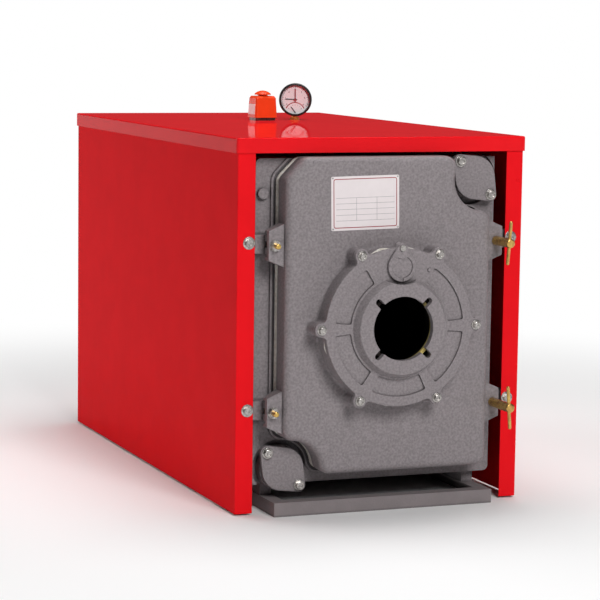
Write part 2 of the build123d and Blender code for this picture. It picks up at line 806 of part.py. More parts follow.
with BuildPart() as bore_ring:
    with BuildSketch(front_plane(boss_wall + seat_gap - boss_face_reach, height=furnace_axis_height)):
        Circle(burner_bore_radius + ring_bore_gap + ring_wall)
        Circle(burner_bore_radius + ring_bore_gap, mode=Mode.SUBTRACT)
    extrude(amount=-ring_length)
write(bore_ring, "bore_ring")

# Sight cover on its pin

cover_back_reach = plate_face_reach + seat_gap
cover_face_reach = cover_back_reach + sight_cover_thickness + sight_cover_rim_height
with BuildPart() as sight_cover_pin:
    with BuildSketch(front_plane(-plate_back_reach, 0, sight_pin_height)):
        Circle(sight_pin_radius)
    extrude(amount=cover_face_reach + seat_gap - plate_back_reach)
    with BuildSketch(front_plane(-cover_face_reach - seat_gap, 0, sight_pin_height)):
        Circle(sight_pin_head)
    extrude(amount=sight_pin_head_length)
write(sight_cover_pin, "sight_cover_pin")


with BuildPart() as sight_cover:
    with BuildSketch(front_plane(-cover_back_reach, 0, sight_cover_height)):
        Circle(sight_cover_radius)
        with Locations((0, sight_cover_drop)):
            Circle(sight_cover_eye)
        make_hull()
    extrude(amount=sight_cover_thickness + sight_cover_rim_height)
    fillet(sight_cover.faces().sort_by(Axis.Y)[0].edges(), sight_cover_edge)
    # Round recess inside the raised rim, cut short by the land round the eye, with a notch at the bottom
    with BuildSketch(front_plane(-cover_face_reach, 0, sight_cover_height)):
        Circle(sight_cover_radius - sight_cover_rim_width)
        with Locations((0, sight_cover_drop)):
            Circle(sight_eye_land, mode=Mode.SUBTRACT)
        with Locations((0, -sight_cover_radius + sight_tab_height / 2)):
            Rectangle(sight_tab_width, sight_tab_height)
    extrude(amount=-sight_cover_rim_height, mode=Mode.SUBTRACT)
    with BuildSketch(front_plane(-cover_back_reach, 0, sight_pin_height)):
        Circle(sight_pin_radius + sight_running_gap)
    extrude(amount=cover_face_reach, mode=Mode.SUBTRACT)
write(sight_cover, "sight_cover")

# Clamp screws with cross bars


def make_clamp(screw_name, bar_name, height, bar_reach, tilt):
    """Clamp screw through the door's lug into the ear, and the bar across its barrel."""
    bar_plane = Plane(origin=(hinge_side, front_y - bar_reach, height),
                      x_dir=(0, 1, 0), z_dir=(sin(radians(tilt)), 0, cos(radians(tilt))))
    with BuildPart() as screw:
        with BuildSketch(front_plane(-lug_face_reach, hinge_side, height)):
            Circle(clamp_barrel_radius)
        extrude(amount=bar_reach + clamp_barrel_end - lug_face_reach)
        fillet(screw.faces().sort_by(Axis.Y)[0].edges(), clamp_barrel_edge)
        with BuildSketch(front_plane(-lug_face_reach, hinge_side, height)):
            Circle(clamp_shank_radius)
        extrude(amount=-(lug_thickness + clamp_tip_length))
        with BuildSketch(bar_plane):
            Circle(clamp_bar_radius)
        extrude(amount=clamp_bar_length / 2, both=True, mode=Mode.SUBTRACT)
    write(screw, screw_name)
    with BuildPart() as bar:
        with BuildSketch(bar_plane):
            Circle(clamp_bar_radius)
        extrude(amount=clamp_bar_length / 2, both=True)
        fillet(bar.edges().filter_by(GeomType.CIRCLE), clamp_bar_edge)
    write(bar, bar_name)


for place, height, bar_reach, tilt in zip(("lower", "upper"), ear_heights, clamp_bar_reaches, clamp_bar_tilts):
    make_clamp(f"{place}_clamp_screw", f"{place}_clamp_bar", height, bar_reach, tilt)

# Water flanges and smoke outlet


def make_pipe_flange(name, place):
    """Pipe stub from the rear section with a bolting flange behind the back panel."""
    flange_end = jacket_depth + pipe_flange_reach
    with BuildPart() as stub:
        with BuildSketch(front_plane(stack_end_depth, place[0], place[1])):
            Circle(stub_radius)
        extrude(amount=-(flange_end - stack_end_depth))
        with BuildSketch(front_plane(flange_end, place[0], place[1])):
            Circle(pipe_flange_radius)
            with PolarLocations(pipe_flange_bolt_circle / 2, pipe_flange_bolt_count,
                                start_angle=pipe_flange_bolt_angle):
                Circle(pipe_flange_hole, mode=Mode.SUBTRACT)
        extrude(amount=pipe_flange_thickness)
        with BuildSketch(front_plane(flange_end, place[0], place[1])):
            Circle(stub_radius - stub_wall)
        extrude(amount=flange_end - stack_end_depth, mode=Mode.SUBTRACT)
    write(stub, name)


make_pipe_flange("flow_flange", port_places[0])
make_pipe_flange("return_flange", port_places[1])

with BuildPart() as smoke_hood:
    with BuildSketch(front_plane(stack_end_depth, height=furnace_axis_height)):
        RectangleRounded(hood_width, hood_height, hood_corner)
    extrude(amount=-hood_length)
    with BuildSketch(front_plane(stack_end_depth, height=furnace_axis_height)):
        RectangleRounded(hood_width - 2 * hood_wall, hood_height - 2 * hood_wall, hood_corner - hood_wall)
    extrude(amount=-(hood_length - hood_wall), mode=Mode.SUBTRACT)
    with BuildSketch(front_plane(stack_end_depth, height=flue_height)):
        Circle(flue_radius - flue_wall)
    extrude(amount=-(hood_length + overrun), mode=Mode.SUBTRACT)
write(smoke_hood, "smoke_hood")

with BuildPart() as flue_collar:
    with BuildSketch(front_plane(jacket_depth, height=flue_height)):
        Circle(flue_radius)
    extrude(amount=-flue_reach)
    with BuildSketch(front_plane(stack_end_depth + hood_length, height=flue_height)):
        Circle(flue_radius + flue_root_swell)
    extrude(amount=-(jacket_depth - stack_end_depth - hood_length))
    with BuildSketch(front_plane(stack_end_depth, height=flue_height)):
        Circle(flue_radius - flue_wall)
    extrude(amount=-(jacket_depth + flue_reach - stack_end_depth), mode=Mode.SUBTRACT)
write(flue_collar, "flue_collar")

# Thermostat

thermostat_base = jacket_height + thermostat_base_height
thermostat_setting = Location((0, 0, 0), (0, 0, thermostat_turn))
with BuildPart() as thermostat_pocket:
    with BuildSketch(level_plane(section_top, thermostat_side, thermostat_depth)):
        Circle(thermostat_pocket_radius)
    extrude(amount=jacket_height - section_top)
    with BuildSketch(level_plane(jacket_height, thermostat_side, thermostat_depth)):
        with Locations(thermostat_setting):
            RectangleRounded(thermostat_width - 2 * thermostat_base_inset,
                             thermostat_length - 2 * thermostat_base_inset, thermostat_corner)
    extrude(amount=thermostat_base_height)
write(thermostat_pocket, "thermostat_pocket")

with BuildPart() as thermostat_housing:
    with BuildSketch(level_plane(thermostat_base, thermostat_side, thermostat_depth)):
        with Locations(thermostat_setting):
            RectangleRounded(thermostat_width, thermostat_length, thermostat_corner)
    extrude(amount=thermostat_height - thermostat_edge, taper=thermostat_draft_angle)
    extrude(thermostat_housing.faces().sort_by(Axis.Z)[-1], amount=thermostat_edge,
            taper=thermostat_shoulder_angle)
write(thermostat_housing, "thermostat_housing")

knob_rim_top = knob_stem_height + knob_rim_height
with BuildPart() as thermostat_knob:
    with BuildSketch(front_plane(thermostat_depth, thermostat_side, thermostat_base + thermostat_height)):
        with BuildLine():
            Polyline((0, knob_height), (0, 0), (knob_stem_radius, 0), (knob_stem_radius, knob_stem_height),
                     (knob_radius, knob_stem_height), (knob_radius, knob_rim_top))
            TangentArc((0, knob_height), (knob_radius, knob_rim_top), tangent=(1, 0))
        make_face()
    revolve(axis=Axis((thermostat_side, front_y + thermostat_depth, 0), (0, 0, 1)))
write(thermostat_knob, "thermostat_knob")

# Gauge, turned a little to the left

gauge_facing = Vector(-sin(radians(gauge_turn)), -cos(radians(gauge_turn)), 0)
gauge_centre = Vector(gauge_side, front_y + gauge_depth, gauge_height)
gauge_across = (cos(radians(gauge_turn)), -sin(radians(gauge_turn)), 0)


def gauge_plane(reach):
    """Plane of the gauge's dial, a reach in front of the middle of its case."""
    return Plane(origin=gauge_centre + gauge_facing * reach, x_dir=gauge_across, z_dir=gauge_facing)


with BuildPart() as gauge_case:
    with BuildSketch(gauge_plane(-gauge_front)):
        Circle(gauge_radius)
    extrude(amount=gauge_length)
    with BuildSketch(gauge_plane(gauge_front)):
        Circle(bezel_radius)
    extrude(amount=-bezel_length)
    fillet(gauge_case.faces().sort_by(Axis(gauge_centre, gauge_facing))[-1].edges(), bezel_edge)
    with BuildSketch(gauge_plane(gauge_front)):
        Circle(bezel_radius - bezel_lip_width)
    extrude(amount=-bezel_lip_length, mode=Mode.SUBTRACT)
    with BuildSketch(gauge_plane(gauge_front - bezel_lip_length)):
        Circle(gauge_cavity_radius)
    extrude(amount=-(gauge_length - gauge_back - bezel_lip_length), mode=Mode.SUBTRACT)
write(gauge_case, "gauge_case")

with BuildPart() as gauge_dial:
    with BuildSketch(gauge_plane(gauge_front - gauge_dial_drop)):
        Circle(gauge_cavity_radius)
    extrude(amount=-gauge_dial_thickness)
write(gauge_dial, "gauge_dial")

with BuildPart() as gauge_glass:
    with BuildSketch(gauge_plane(gauge_front - bezel_lip_length)):
        Circle(gauge_cavity_radius)
    extrude(amount=-gauge_glass_thickness)
write(gauge_glass, "gauge_glass")

with BuildPart() as gauge_stem:
    with BuildSketch(level_plane(section_top, gauge_side, gauge_depth)):
        Circle(gauge_stem_radius)
    extrude(amount=gauge_height - section_top)
    with BuildSketch(level_plane(jacket_height, gauge_side, gauge_depth)):
        RegularPolygon(gauge_nut_flats / 2, 6, major_radius=False)
    extrude(amount=gauge_nut_height)
    with BuildSketch(gauge_plane(-gauge_front)):
        Circle(gauge_radius)
    extrude(amount=gauge_length, mode=Mode.SUBTRACT)
write(gauge_stem, "gauge_stem")
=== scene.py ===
"""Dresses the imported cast-iron boiler: finishes, bolts, seals, data plate and gauge face, in a studio."""

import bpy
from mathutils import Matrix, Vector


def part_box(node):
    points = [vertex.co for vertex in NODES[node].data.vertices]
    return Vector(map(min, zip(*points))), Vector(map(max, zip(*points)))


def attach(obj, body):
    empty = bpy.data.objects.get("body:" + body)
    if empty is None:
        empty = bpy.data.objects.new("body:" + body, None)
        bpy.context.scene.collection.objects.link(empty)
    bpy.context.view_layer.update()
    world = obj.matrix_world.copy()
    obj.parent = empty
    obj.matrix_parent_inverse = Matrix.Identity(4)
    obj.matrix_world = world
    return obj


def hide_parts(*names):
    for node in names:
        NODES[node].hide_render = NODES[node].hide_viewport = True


bl_info = {
    "name": "Sectional Boiler",
    "version": (1, 0, 0),
    "blender": (4, 5, 0),
    "location": "View3D > Sidebar > Boiler",
    "description": "Finishes and small parts of a cast-iron sectional boiler, fitted to its packed CAD frame",
    "category": "Object",
}

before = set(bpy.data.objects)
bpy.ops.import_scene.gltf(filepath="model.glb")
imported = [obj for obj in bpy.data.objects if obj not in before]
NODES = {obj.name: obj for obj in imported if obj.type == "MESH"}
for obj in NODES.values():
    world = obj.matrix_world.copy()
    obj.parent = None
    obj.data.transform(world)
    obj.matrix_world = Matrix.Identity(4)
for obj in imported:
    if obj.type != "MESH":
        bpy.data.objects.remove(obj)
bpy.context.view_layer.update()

import math
import random

import bmesh
import bpy
from bpy.props import FloatProperty, FloatVectorProperty, PointerProperty
from mathutils import Matrix, Vector

# Turns that stand a flat shape up to face the front or the back.
FRONT_TURN = math.radians(90)
BACK_TURN = math.radians(-90)

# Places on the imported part, in metres.
FURNACE_HEIGHT = 0.404
FURNACE_RADIUS = 0.167
LINING_BORE_RADIUS = 0.109
JACKET_FRONT = -0.580
DOOR_FACE = JACKET_FRONT - 0.046


def linear(code):
    """Linear RGBA of an sRGB hex colour."""
    parts = [int(code[place:place + 2], 16) / 255 for place in (1, 3, 5)]
    light = [part / 12.92 if part <= 0.04045 else ((part + 0.055) / 1.055) ** 2.4 for part in parts]
    return (*light, 1.0)


def length(name, description, default):
    """Length property in metres."""
    return FloatProperty(name=name, description=description, default=default, min=0.0, unit="LENGTH",
                         precision=4)


def colour(name, description, code):
    """Colour property from an sRGB hex default."""
    return FloatVectorProperty(name=name, description=description, default=linear(code), size=4,
                               min=0.0, max=1.0, subtype="COLOR")


class BoilerSizes(bpy.types.PropertyGroup):
    """Sizes of the small parts."""
    plate_bolt_flats: length("Plate bolt flats", "Across flats of the burner plate's bolts", 0.0135)
    port_bolt_flats: length("Port bolt flats", "Across flats of the port covers' bolts", 0.017)
    jacket_bolt_flats: length("Jacket bolt flats", "Across flats of the jacket's bolts", 0.016)
    back_screw_flats: length("Back screw flats", "Across flats of the back panel's screws", 0.008)
    rope_width: length("Rope width", "Width of the door's rope seal", 0.0102)
    data_plate_width: length("Data plate width", "Width of the bare data plate", 0.155)
    data_plate_height: length("Data plate height", "Height of the bare data plate", 0.114)


class BoilerColours(bpy.types.PropertyGroup):
    """Colours of the main finishes."""
    enamel: colour("Jacket", "Red enamel of the jacket", "#EA1921")
    casting: colour("Casting", "Grey paint on the castings", "#888183")
    angle_iron: colour("Base", "Grey paint on the base frame", "#867E7F")
    thermostat: colour("Thermostat", "Orange thermostat moulding", "#F04A1C")
    floor: colour("Floor", "Pale studio floor", "#F7F7F7")


def add_node(tree, kind, links=None, values=None, **settings):
    """Add a node with its settings, socket values and links from other sockets."""
    node = tree.nodes.new(kind)
    for name, value in settings.items():
        setattr(node, name, value)
    for socket, value in (values or {}).items():
        node.inputs[socket].default_value = value
    for socket, source in (links or {}).items():
        tree.links.new(source, node.inputs[socket])
    return node


def shade(code, factor):
    """A linear colour made lighter or darker by a factor."""
    return tuple(min(1.0, part * factor) for part in code[:3]) + (1.0,)


# Real sand grit, tool marks and fibres are 0.1 to 0.5 mm, and a pixel of the render covers about 2.4 mm.
# They would be too fine to show, so every finish has its grain drawn coarser, at 1 to 6 mm.
def mottle_and_grain(tree, shader, light, dark, patch, grain, height, rough):
    """Colour patches of a size in metres, and grain of a size and height that also breaks up the gloss."""
    place = add_node(tree, "ShaderNodeTexCoord").outputs["Object"]
    patches = add_node(tree, "ShaderNodeTexNoise", {"Vector": place},
                       {"Scale": 1 / patch, "Detail": 4.0, "Roughness": 0.6})
    blend = add_node(tree, "ShaderNodeMapRange", {"Value": patches.outputs[0]},
                     {"From Min": 0.35, "From Max": 0.65})
    mix = add_node(tree, "ShaderNodeMix", {0: blend.outputs[0]}, {6: dark, 7: light}, data_type="RGBA")
    tree.links.new(mix.outputs[2], shader.inputs["Base Color"])
    grains = add_node(tree, "ShaderNodeTexNoise", {"Vector": place},
                      {"Scale": 1 / grain, "Detail": 3.0, "Roughness": 0.55})
    gloss = add_node(tree, "ShaderNodeMapRange", {"Value": grains.outputs[0]},
                     {"From Min": 0.3, "From Max": 0.7, "To Min": rough[0], "To Max": rough[1]})
    tree.links.new(gloss.outputs[0], shader.inputs["Roughness"])
    bump = add_node(tree, "ShaderNodeBump", {"Height": grains.outputs[0]},
                    {"Strength": 1.0, "Distance": height})
    tree.links.new(bump.outputs[0], shader.inputs["Normal"])


def new_finish(name, sockets, *pattern):
    """Material with its shader's sockets set, and with the patches and grain that a pattern gives: light and
    dark colour, size of the patches, size and height of the grain, and least and most roughness."""
    material = bpy.data.materials.new(name)
    material.use_nodes = True
    shader = material.node_tree.nodes["Principled BSDF"]
    for socket, value in sockets.items():
        shader.inputs[socket].default_value = value
    if pattern:
        mottle_and_grain(material.node_tree, shader, *pattern)
    return material


def cover_paint(material, clean, cover):
    """Lay a colour over a finish's own, fully where the clean share is 0 and not at all where it is 1."""
    tree = material.node_tree
    shader = tree.nodes["Principled BSDF"]
    paint = shader.inputs["Base Color"].links[0].from_socket
    mix = add_node(tree, "ShaderNodeMix", {0: clean, 7: paint}, {6: cover}, data_type="RGBA")
    tree.links.new(mix.outputs[2], shader.inputs["Base Color"])


def red_enamel(name, colours, gloss):
    """Stoved enamel on sheet steel: deep even red under a thin clear gloss, with a faint orange peel."""
    code = tuple(colours.enamel)
    sockets = {"Specular IOR Level": 0.0, "Coat Weight": gloss, "Coat Roughness": 0.03, "Coat IOR": 1.2}
    return new_finish(name, sockets,
                      shade(code, 1.02), shade(code, 0.97), 0.09, 0.006, 0.000008, (0.42, 0.48))


# Painted shade in corners and recesses: how far ambient occlusion reaches, and how dark it makes the paint.
CORNER_SHADE_REACH = 0.012
CORNER_SHADE_DARKNESS = 0.12


def painted_casting(name, code, patch=0.005, spread=0.17):
    """Grey heat-proof paint on sand-cast iron: satin, pitted by the sand, with painted shade in the corners.
    """
    light, dark = shade(code, 1 + spread), shade(code, 1 - spread)
    material = new_finish(name, {"Specular IOR Level": 0.15},
                          light, dark, patch, 0.0034, 0.0006, (0.46, 0.6))
    tree = material.node_tree
    # Painted shade: ambient occlusion darkens the paint in corners and recesses, down to a set share of its
    # colour.
    corners = add_node(tree, "ShaderNodeAmbientOcclusion", values={"Distance": CORNER_SHADE_REACH}, samples=8)
    clean = add_node(tree, "ShaderNodeMapRange", {"Value": corners.outputs["AO"]},
                     {"From Min": 0.25, "From Max": 0.75})
    cover_paint(material, clean.outputs[0], shade(code, CORNER_SHADE_DARKNESS))
    return material


# Soot black, used also as painted shade inside the burner's bore, and the width over which it fades out.
SOOT_AND_SHADE = "#241F1D"
SOOT_AND_SHADE_FADE = 0.03
# Steers where the ring is left lit, free of its painted shade: a little to the right, a little down and
# mostly at the front.
LIT_SIDE = Vector((0.8, -6.0, -0.57))
LIT_START, LIT_FULL = 0.01, 0.045


def sooted_bore(material, radius):
    """Blacken a casting or a lining inside a radius of the furnace's axis, fading out beyond: soot, and
    painted shade of the dark furnace.
    """
    tree = material.node_tree
    place = add_node(tree, "ShaderNodeTexCoord").outputs["Object"]
    across = add_node(tree, "ShaderNodeVectorMath", {0: place},
                      {1: (1.0, 0.0, 1.0), 2: (0.0, 0.0, -FURNACE_HEIGHT)}, operation="MULTIPLY_ADD")
    distance = add_node(tree, "ShaderNodeVectorMath", {0: across.outputs[0]}, operation="LENGTH")
    clean = add_node(tree, "ShaderNodeMapRange", {"Value": distance.outputs["Value"]},
                     {"From Min": radius, "From Max": radius + SOOT_AND_SHADE_FADE})
    # Soot and painted shade: black inside the bore's radius, where the furnace is dark.
    cover_paint(material, clean.outputs[0], linear(SOOT_AND_SHADE))
    return material


def sooted_iron():
    """Bare cast iron of the sections, dull brown-black from soot and heat."""
    return new_finish("sooted_cast_iron", {"Specular IOR Level": 0.2},
                      linear("#3B3634"), linear("#1E1B1A"), 0.05, 0.004, 0.0008, (0.7, 0.9))


def hood_paint():
    """Heat-proof black paint on plate and pipe: matt with a slight sheen."""
    return new_finish("matt_black_heat_paint", {"Specular IOR Level": 0.3},
                      linear("#2E2D2D"), linear("#1F1E1E"), 0.03, 0.0016, 0.00015, (0.5, 0.65))


def yellow_zinc():
    """Yellow passivated zinc: gold, clouded with brown, satin from the turning."""
    return new_finish("yellow_passivated_zinc", {"Metallic": 1.0},
                      linear("#E2C06A"), linear("#B58A52"), 0.012, 0.0014, 0.00008, (0.24, 0.36))


def zinc_plate(name, light, dark):
    """Zinc plate on steel: grey metal, lightly clouded."""
    return new_finish(name, {"Metallic": 1.0},
                      linear(light), linear(dark), 0.006, 0.0012, 0.00006, (0.22, 0.34))


def white_fibre():
    """Ceramic fibre rope and board: soft matt white with a loose, hairy surface."""
    return new_finish("white_ceramic_fibre", {"Specular IOR Level": 0.1, "Sheen Weight": 0.3},
                      linear("#F4F1EA"), linear("#D6CFC2"), 0.009, 0.0011, 0.0005, (0.85, 0.98))


def cream_refractory(name):
    """Moulded refractory fibre: crumbly cream yellow."""
    return new_finish(name, {"Specular IOR Level": 0.1},
                      linear("#EBD98C"), linear("#CDB465"), 0.015, 0.0018, 0.0006, (0.85, 0.98))


def sooted_ring(name, front):
    """Refractory ring blackened as painted shade, left lit only low on the right of its front edge."""
    material = cream_refractory(name)
    tree = material.node_tree
    place = add_node(tree, "ShaderNodeTexCoord").outputs["Object"]
    level = LIT_SIDE.dot(Vector((0.0, front, FURNACE_HEIGHT)))
    reach = add_node(tree, "ShaderNodeVectorMath", {0: place}, {1: LIT_SIDE}, operation="DOT_PRODUCT")
    clean = add_node(tree, "ShaderNodeMapRange", {"Value": reach.outputs["Value"]},
                     {"From Min": level + LIT_START, "From Max": level + LIT_FULL})
    # Painted shade: black all round, fading away only where light reaches the ring low on the right.
    cover_paint(material, clean.outputs[0], linear(SOOT_AND_SHADE))
    return material


def orange_moulding(colours):
    """Injection-moulded ABS: clean orange with a soft gloss."""
    code = tuple(colours.thermostat)
    return new_finish("orange_moulded_abs", {"Specular IOR Level": 0.2},
                      shade(code, 1.02), shade(code, 0.96), 0.02, 0.0012, 0.00002, (0.26, 0.34))


def black_bezel():
    """Black enamel on the gauge's case: smooth and glossy."""
    return new_finish("black_enamel", {"Specular IOR Level": 0.5},
                      linear("#1B191A"), linear("#121112"), 0.02, 0.002, 0.00001, (0.18, 0.26))


def printed_white(name, code):
    """White lacquer or paper for printing on: flat and even with a little gloss."""
    white = linear(code)
    return new_finish(name, {"Specular IOR Level": 0.3},
                      white, shade(white, 0.97), 0.02, 0.0015, 0.00001, (0.35, 0.45))


def printing_ink(name, code):
    """Screen-printed ink or lacquer on the pointers and lines: flat and satin."""
    ink = linear(code)
    return new_finish(name, {"Specular IOR Level": 0.25},
                      ink, shade(ink, 0.85), 0.004, 0.001, 0.000005, (0.4, 0.5))


WHITE = (1.0, 1.0, 1.0, 1.0)


def gauge_glass():
    """Clear thin flat glass of the gauge, which lets light through to the dial."""
    return new_finish("clear_gauge_glass", {
        "Base Color": WHITE, "Roughness": 0.02, "IOR": 1.45, "Alpha": 0.02})


def turned_brass():
    """Turned brass: warm yellow metal with fine tool marks."""
    return new_finish("turned_brass", {"Metallic": 1.0},
                      linear("#D9A85C"), linear("#B07F3C"), 0.01, 0.0012, 0.00006, (0.25, 0.36))


def put_finish(material, *names):
    """Give CAD nodes a material."""
    for name in names:
        mesh = NODES[name].data
        mesh.materials.clear()
        mesh.materials.append(material)


def finish(name):
    """A finish that is already made."""
    return bpy.data.materials[name]


def new_piece(name, mesh, material, body):
    """Object at the origin for a finished mesh, with its finish and body."""
    piece = bpy.data.objects.new(name, mesh)
    bpy.context.scene.collection.objects.link(piece)
    if not mesh.materials:
        mesh.materials.append(material)
    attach(piece, body)
    return piece


def mesh_of(name, points, faces, place=Matrix()):
    """Mesh from points in metres moved to their place, with its faces turned outwards."""
    mesh = bpy.data.meshes.new(name)
    mesh.from_pydata([place @ Vector(point) for point in points], [], faces)
    work = bmesh.new()
    work.from_mesh(mesh)
    bmesh.ops.remove_doubles(work, verts=work.verts, dist=1e-7)
    bmesh.ops.recalc_face_normals(work, faces=work.faces)
    work.to_mesh(mesh)
    work.free()
    return mesh


def prism(outline, low, high):
    """Points and faces of a flat shape between two heights."""
    count = len(outline)
    points = [(x, y, low) for x, y in outline] + [(x, y, high) for x, y in outline]
    faces = [list(range(count))[::-1], list(range(count, 2 * count))]
    faces += [[i, (i + 1) % count, count + (i + 1) % count, count + i] for i in range(count)]
    return points, faces


def band(outer, inner, low, high):
    """Points and faces of a closed band between two outlines with equal counts."""
    count = len(outer)
    rings = [(outer, low), (outer, high), (inner, high), (inner, low)]
    points = [(x, y, height) for outline, height in rings for x, y in outline]
    faces = []
    for ring in range(4):
        here = ring * count
        after = (ring + 1) % 4 * count
        for i in range(count):
            beside = (i + 1) % count
            faces.append([here + i, here + beside, after + beside, after + i])
    return points, faces


def join_shapes(shapes):
    """Several shapes' points and faces as one."""
    points, faces = [], []
    for shape_points, shape_faces in shapes:
        faces += [[index + len(points) for index in face] for face in shape_faces]
        points += shape_points
    return points, faces


def rounded_box(width, height, corner, steps=6):
    """Outline of a rectangle with round corners."""
    outline = []
    for turn, (side, rise) in enumerate(((1, 1), (-1, 1), (-1, -1), (1, -1))):
        for step in range(steps + 1):
            angle = math.radians(90 * (turn + step / steps))
            outline.append((side * (width / 2 - corner) + corner * math.cos(angle),
                            rise * (height / 2 - corner) + corner * math.sin(angle)))
    return outline


def strip(start, end, width):
    """Outline of a straight bar between two points."""
    along = (Vector(end) - Vector(start)).normalized()
    across = Vector((-along.y, along.x)) * width / 2
    return [tuple(Vector(start) - across), tuple(Vector(end) - across),
            tuple(Vector(end) + across), tuple(Vector(start) + across)]


def facing_front(side, depth, height):
    """Place on an upright plane that faces the front: X to the right, Y up and Z forward."""
    return Matrix.Translation((side, depth, height)) @ Matrix.Rotation(FRONT_TURN, 4, "X")


def place_on_points(tree, given, instance, rotation, result):
    """End of a tree: a shape set on each point, made real and given its finish."""
    instances = add_node(tree, "GeometryNodeInstanceOnPoints",
                         {"Points": given["Points"], "Instance": instance, "Rotation": rotation})
    solid = add_node(tree, "GeometryNodeRealizeInstances", {0: instances.outputs[0]})
    coated = add_node(tree, "GeometryNodeSetMaterial",
                      {"Geometry": solid.outputs[0], "Material": given["Finish"]})
    add_node(tree, "NodeGroupOutput", {result: coated.outputs[0]})


# A bolt head's flat top and dish, as shares of its width across flats, and the dish's cutter, as a share
# of the head's height.
HEAD_TOP_SHARE = 0.47
DISH_RADIUS_SHARE = 0.3
DISH_CUTTER_SHARE = 0.5
HEAD_SPIN = math.radians(60)
WASHER_EDGE = 0.0004


def bolt_tree():
    """Geometry nodes: washer and chamfered, dished hex head on each point, spun at random about its axis."""
    tree = bpy.data.node_groups.new("hex_bolts_on_points", "GeometryNodeTree")
    tree.interface.new_socket("Points", in_out="INPUT", socket_type="NodeSocketGeometry")
    for name in ("Across Flats", "Head Height", "Washer Radius", "Washer Thickness", "Turn"):
        tree.interface.new_socket(name, in_out="INPUT", socket_type="NodeSocketFloat")
    tree.interface.new_socket("Seed", in_out="INPUT", socket_type="NodeSocketInt")
    tree.interface.new_socket("Finish", in_out="INPUT", socket_type="NodeSocketMaterial")
    tree.interface.new_socket("Bolts", in_out="OUTPUT", socket_type="NodeSocketGeometry")
    given = add_node(tree, "NodeGroupInput").outputs

    def work_out(operation, first, second):
        """Result of a sum on two sockets or numbers."""
        links = {i: value for i, value in enumerate((first, second)) if not isinstance(value, float)}
        values = {i: value for i, value in enumerate((first, second)) if isinstance(value, float)}
        return add_node(tree, "ShaderNodeMath", links, values, operation=operation).outputs[0]

    corner_radius = work_out("DIVIDE", given["Across Flats"], math.sqrt(3))
    top_radius = work_out("MULTIPLY", given["Across Flats"], HEAD_TOP_SHARE)
    skirt_radius = work_out("ADD", top_radius, work_out("MULTIPLY", given["Head Height"], math.sqrt(3)))
    hexagon = add_node(tree, "GeometryNodeMeshCylinder",
                       {"Radius": corner_radius, "Depth": work_out("MULTIPLY", given["Head Height"], 2.0)},
                       {"Vertices": 6})
    middle = add_node(tree, "ShaderNodeCombineXYZ", {"Z": work_out("MULTIPLY", given["Head Height"], 0.5)})
    raised = add_node(tree, "GeometryNodeTransform",
                      {"Geometry": hexagon.outputs["Mesh"], "Translation": middle.outputs[0]})
    cone = add_node(tree, "GeometryNodeMeshCone",
                    {"Radius Top": top_radius, "Radius Bottom": skirt_radius, "Depth": given["Head Height"]},
                    {"Vertices": 36})
    head = add_node(tree, "GeometryNodeMeshBoolean", operation="INTERSECT", solver="EXACT")
    tree.links.new(raised.outputs[0], head.inputs[1])
    tree.links.new(cone.outputs["Mesh"], head.inputs[1])
    dish = add_node(tree, "GeometryNodeMeshCylinder",
                    {"Radius": work_out("MULTIPLY", given["Across Flats"], DISH_RADIUS_SHARE),
                     "Depth": work_out("MULTIPLY", given["Head Height"], DISH_CUTTER_SHARE)},
                    {"Vertices": 24})
    top = add_node(tree, "ShaderNodeCombineXYZ", {"Z": given["Head Height"]})
    lifted = add_node(tree, "GeometryNodeTransform",
                      {"Geometry": dish.outputs["Mesh"], "Translation": top.outputs[0]})
    dished = add_node(tree, "GeometryNodeMeshBoolean", {0: head.outputs["Mesh"], 1: lifted.outputs[0]},
                      operation="DIFFERENCE", solver="EXACT")
    on_washer = add_node(tree, "ShaderNodeCombineXYZ", {"Z": given["Washer Thickness"]})
    seated = add_node(tree, "GeometryNodeTransform",
                      {"Geometry": dished.outputs["Mesh"], "Translation": on_washer.outputs[0]})
    ring_width = work_out("MULTIPLY", given["Washer Radius"], 0.5)
    ring = add_node(tree, "GeometryNodeCurvePrimitiveCircle",
                    {"Radius": work_out("MULTIPLY", given["Washer Radius"], 0.75)}, {"Resolution": 40})
    section = add_node(tree, "GeometryNodeCurvePrimitiveQuadrilateral",
                       {"Width": ring_width, "Height": given["Washer Thickness"]})
    eased = add_node(tree, "GeometryNodeFilletCurve", {"Curve": section.outputs[0]},
                     {"Radius": WASHER_EDGE, "Count": 2}, mode="POLY")
    washer = add_node(tree, "GeometryNodeCurveToMesh",
                      {"Curve": ring.outputs[0], "Profile Curve": eased.outputs[0]})
    half_up = add_node(tree, "ShaderNodeCombineXYZ",
                       {"Z": work_out("MULTIPLY", given["Washer Thickness"], 0.5)})
    laid = add_node(tree, "GeometryNodeTransform",
                    {"Geometry": washer.outputs[0], "Translation": half_up.outputs[0]})
    bolt = add_node(tree, "GeometryNodeJoinGeometry")
    tree.links.new(seated.outputs[0], bolt.inputs[0])
    tree.links.new(laid.outputs[0], bolt.inputs[0])
    spin = add_node(tree, "FunctionNodeRandomValue", {"Seed": given["Seed"]}, {3: HEAD_SPIN},
                    data_type="FLOAT")
    spin_angles = add_node(tree, "ShaderNodeCombineXYZ", {"Z": spin.outputs[1]})
    spun = add_node(tree, "FunctionNodeEulerToRotation", {0: spin_angles.outputs[0]})
    turn_angles = add_node(tree, "ShaderNodeCombineXYZ", {"X": given["Turn"]})
    turned = add_node(tree, "FunctionNodeEulerToRotation", {0: turn_angles.outputs[0]})
    set_round = add_node(tree, "FunctionNodeRotateRotation",
                         {0: turned.outputs[0], 1: spun.outputs[0]}, rotation_space="LOCAL")
    place_on_points(tree, given, bolt.outputs[0], set_round.outputs[0], "Bolts")
    return tree


RIVET_SQUASH = (1.0, 1.0, 0.5)


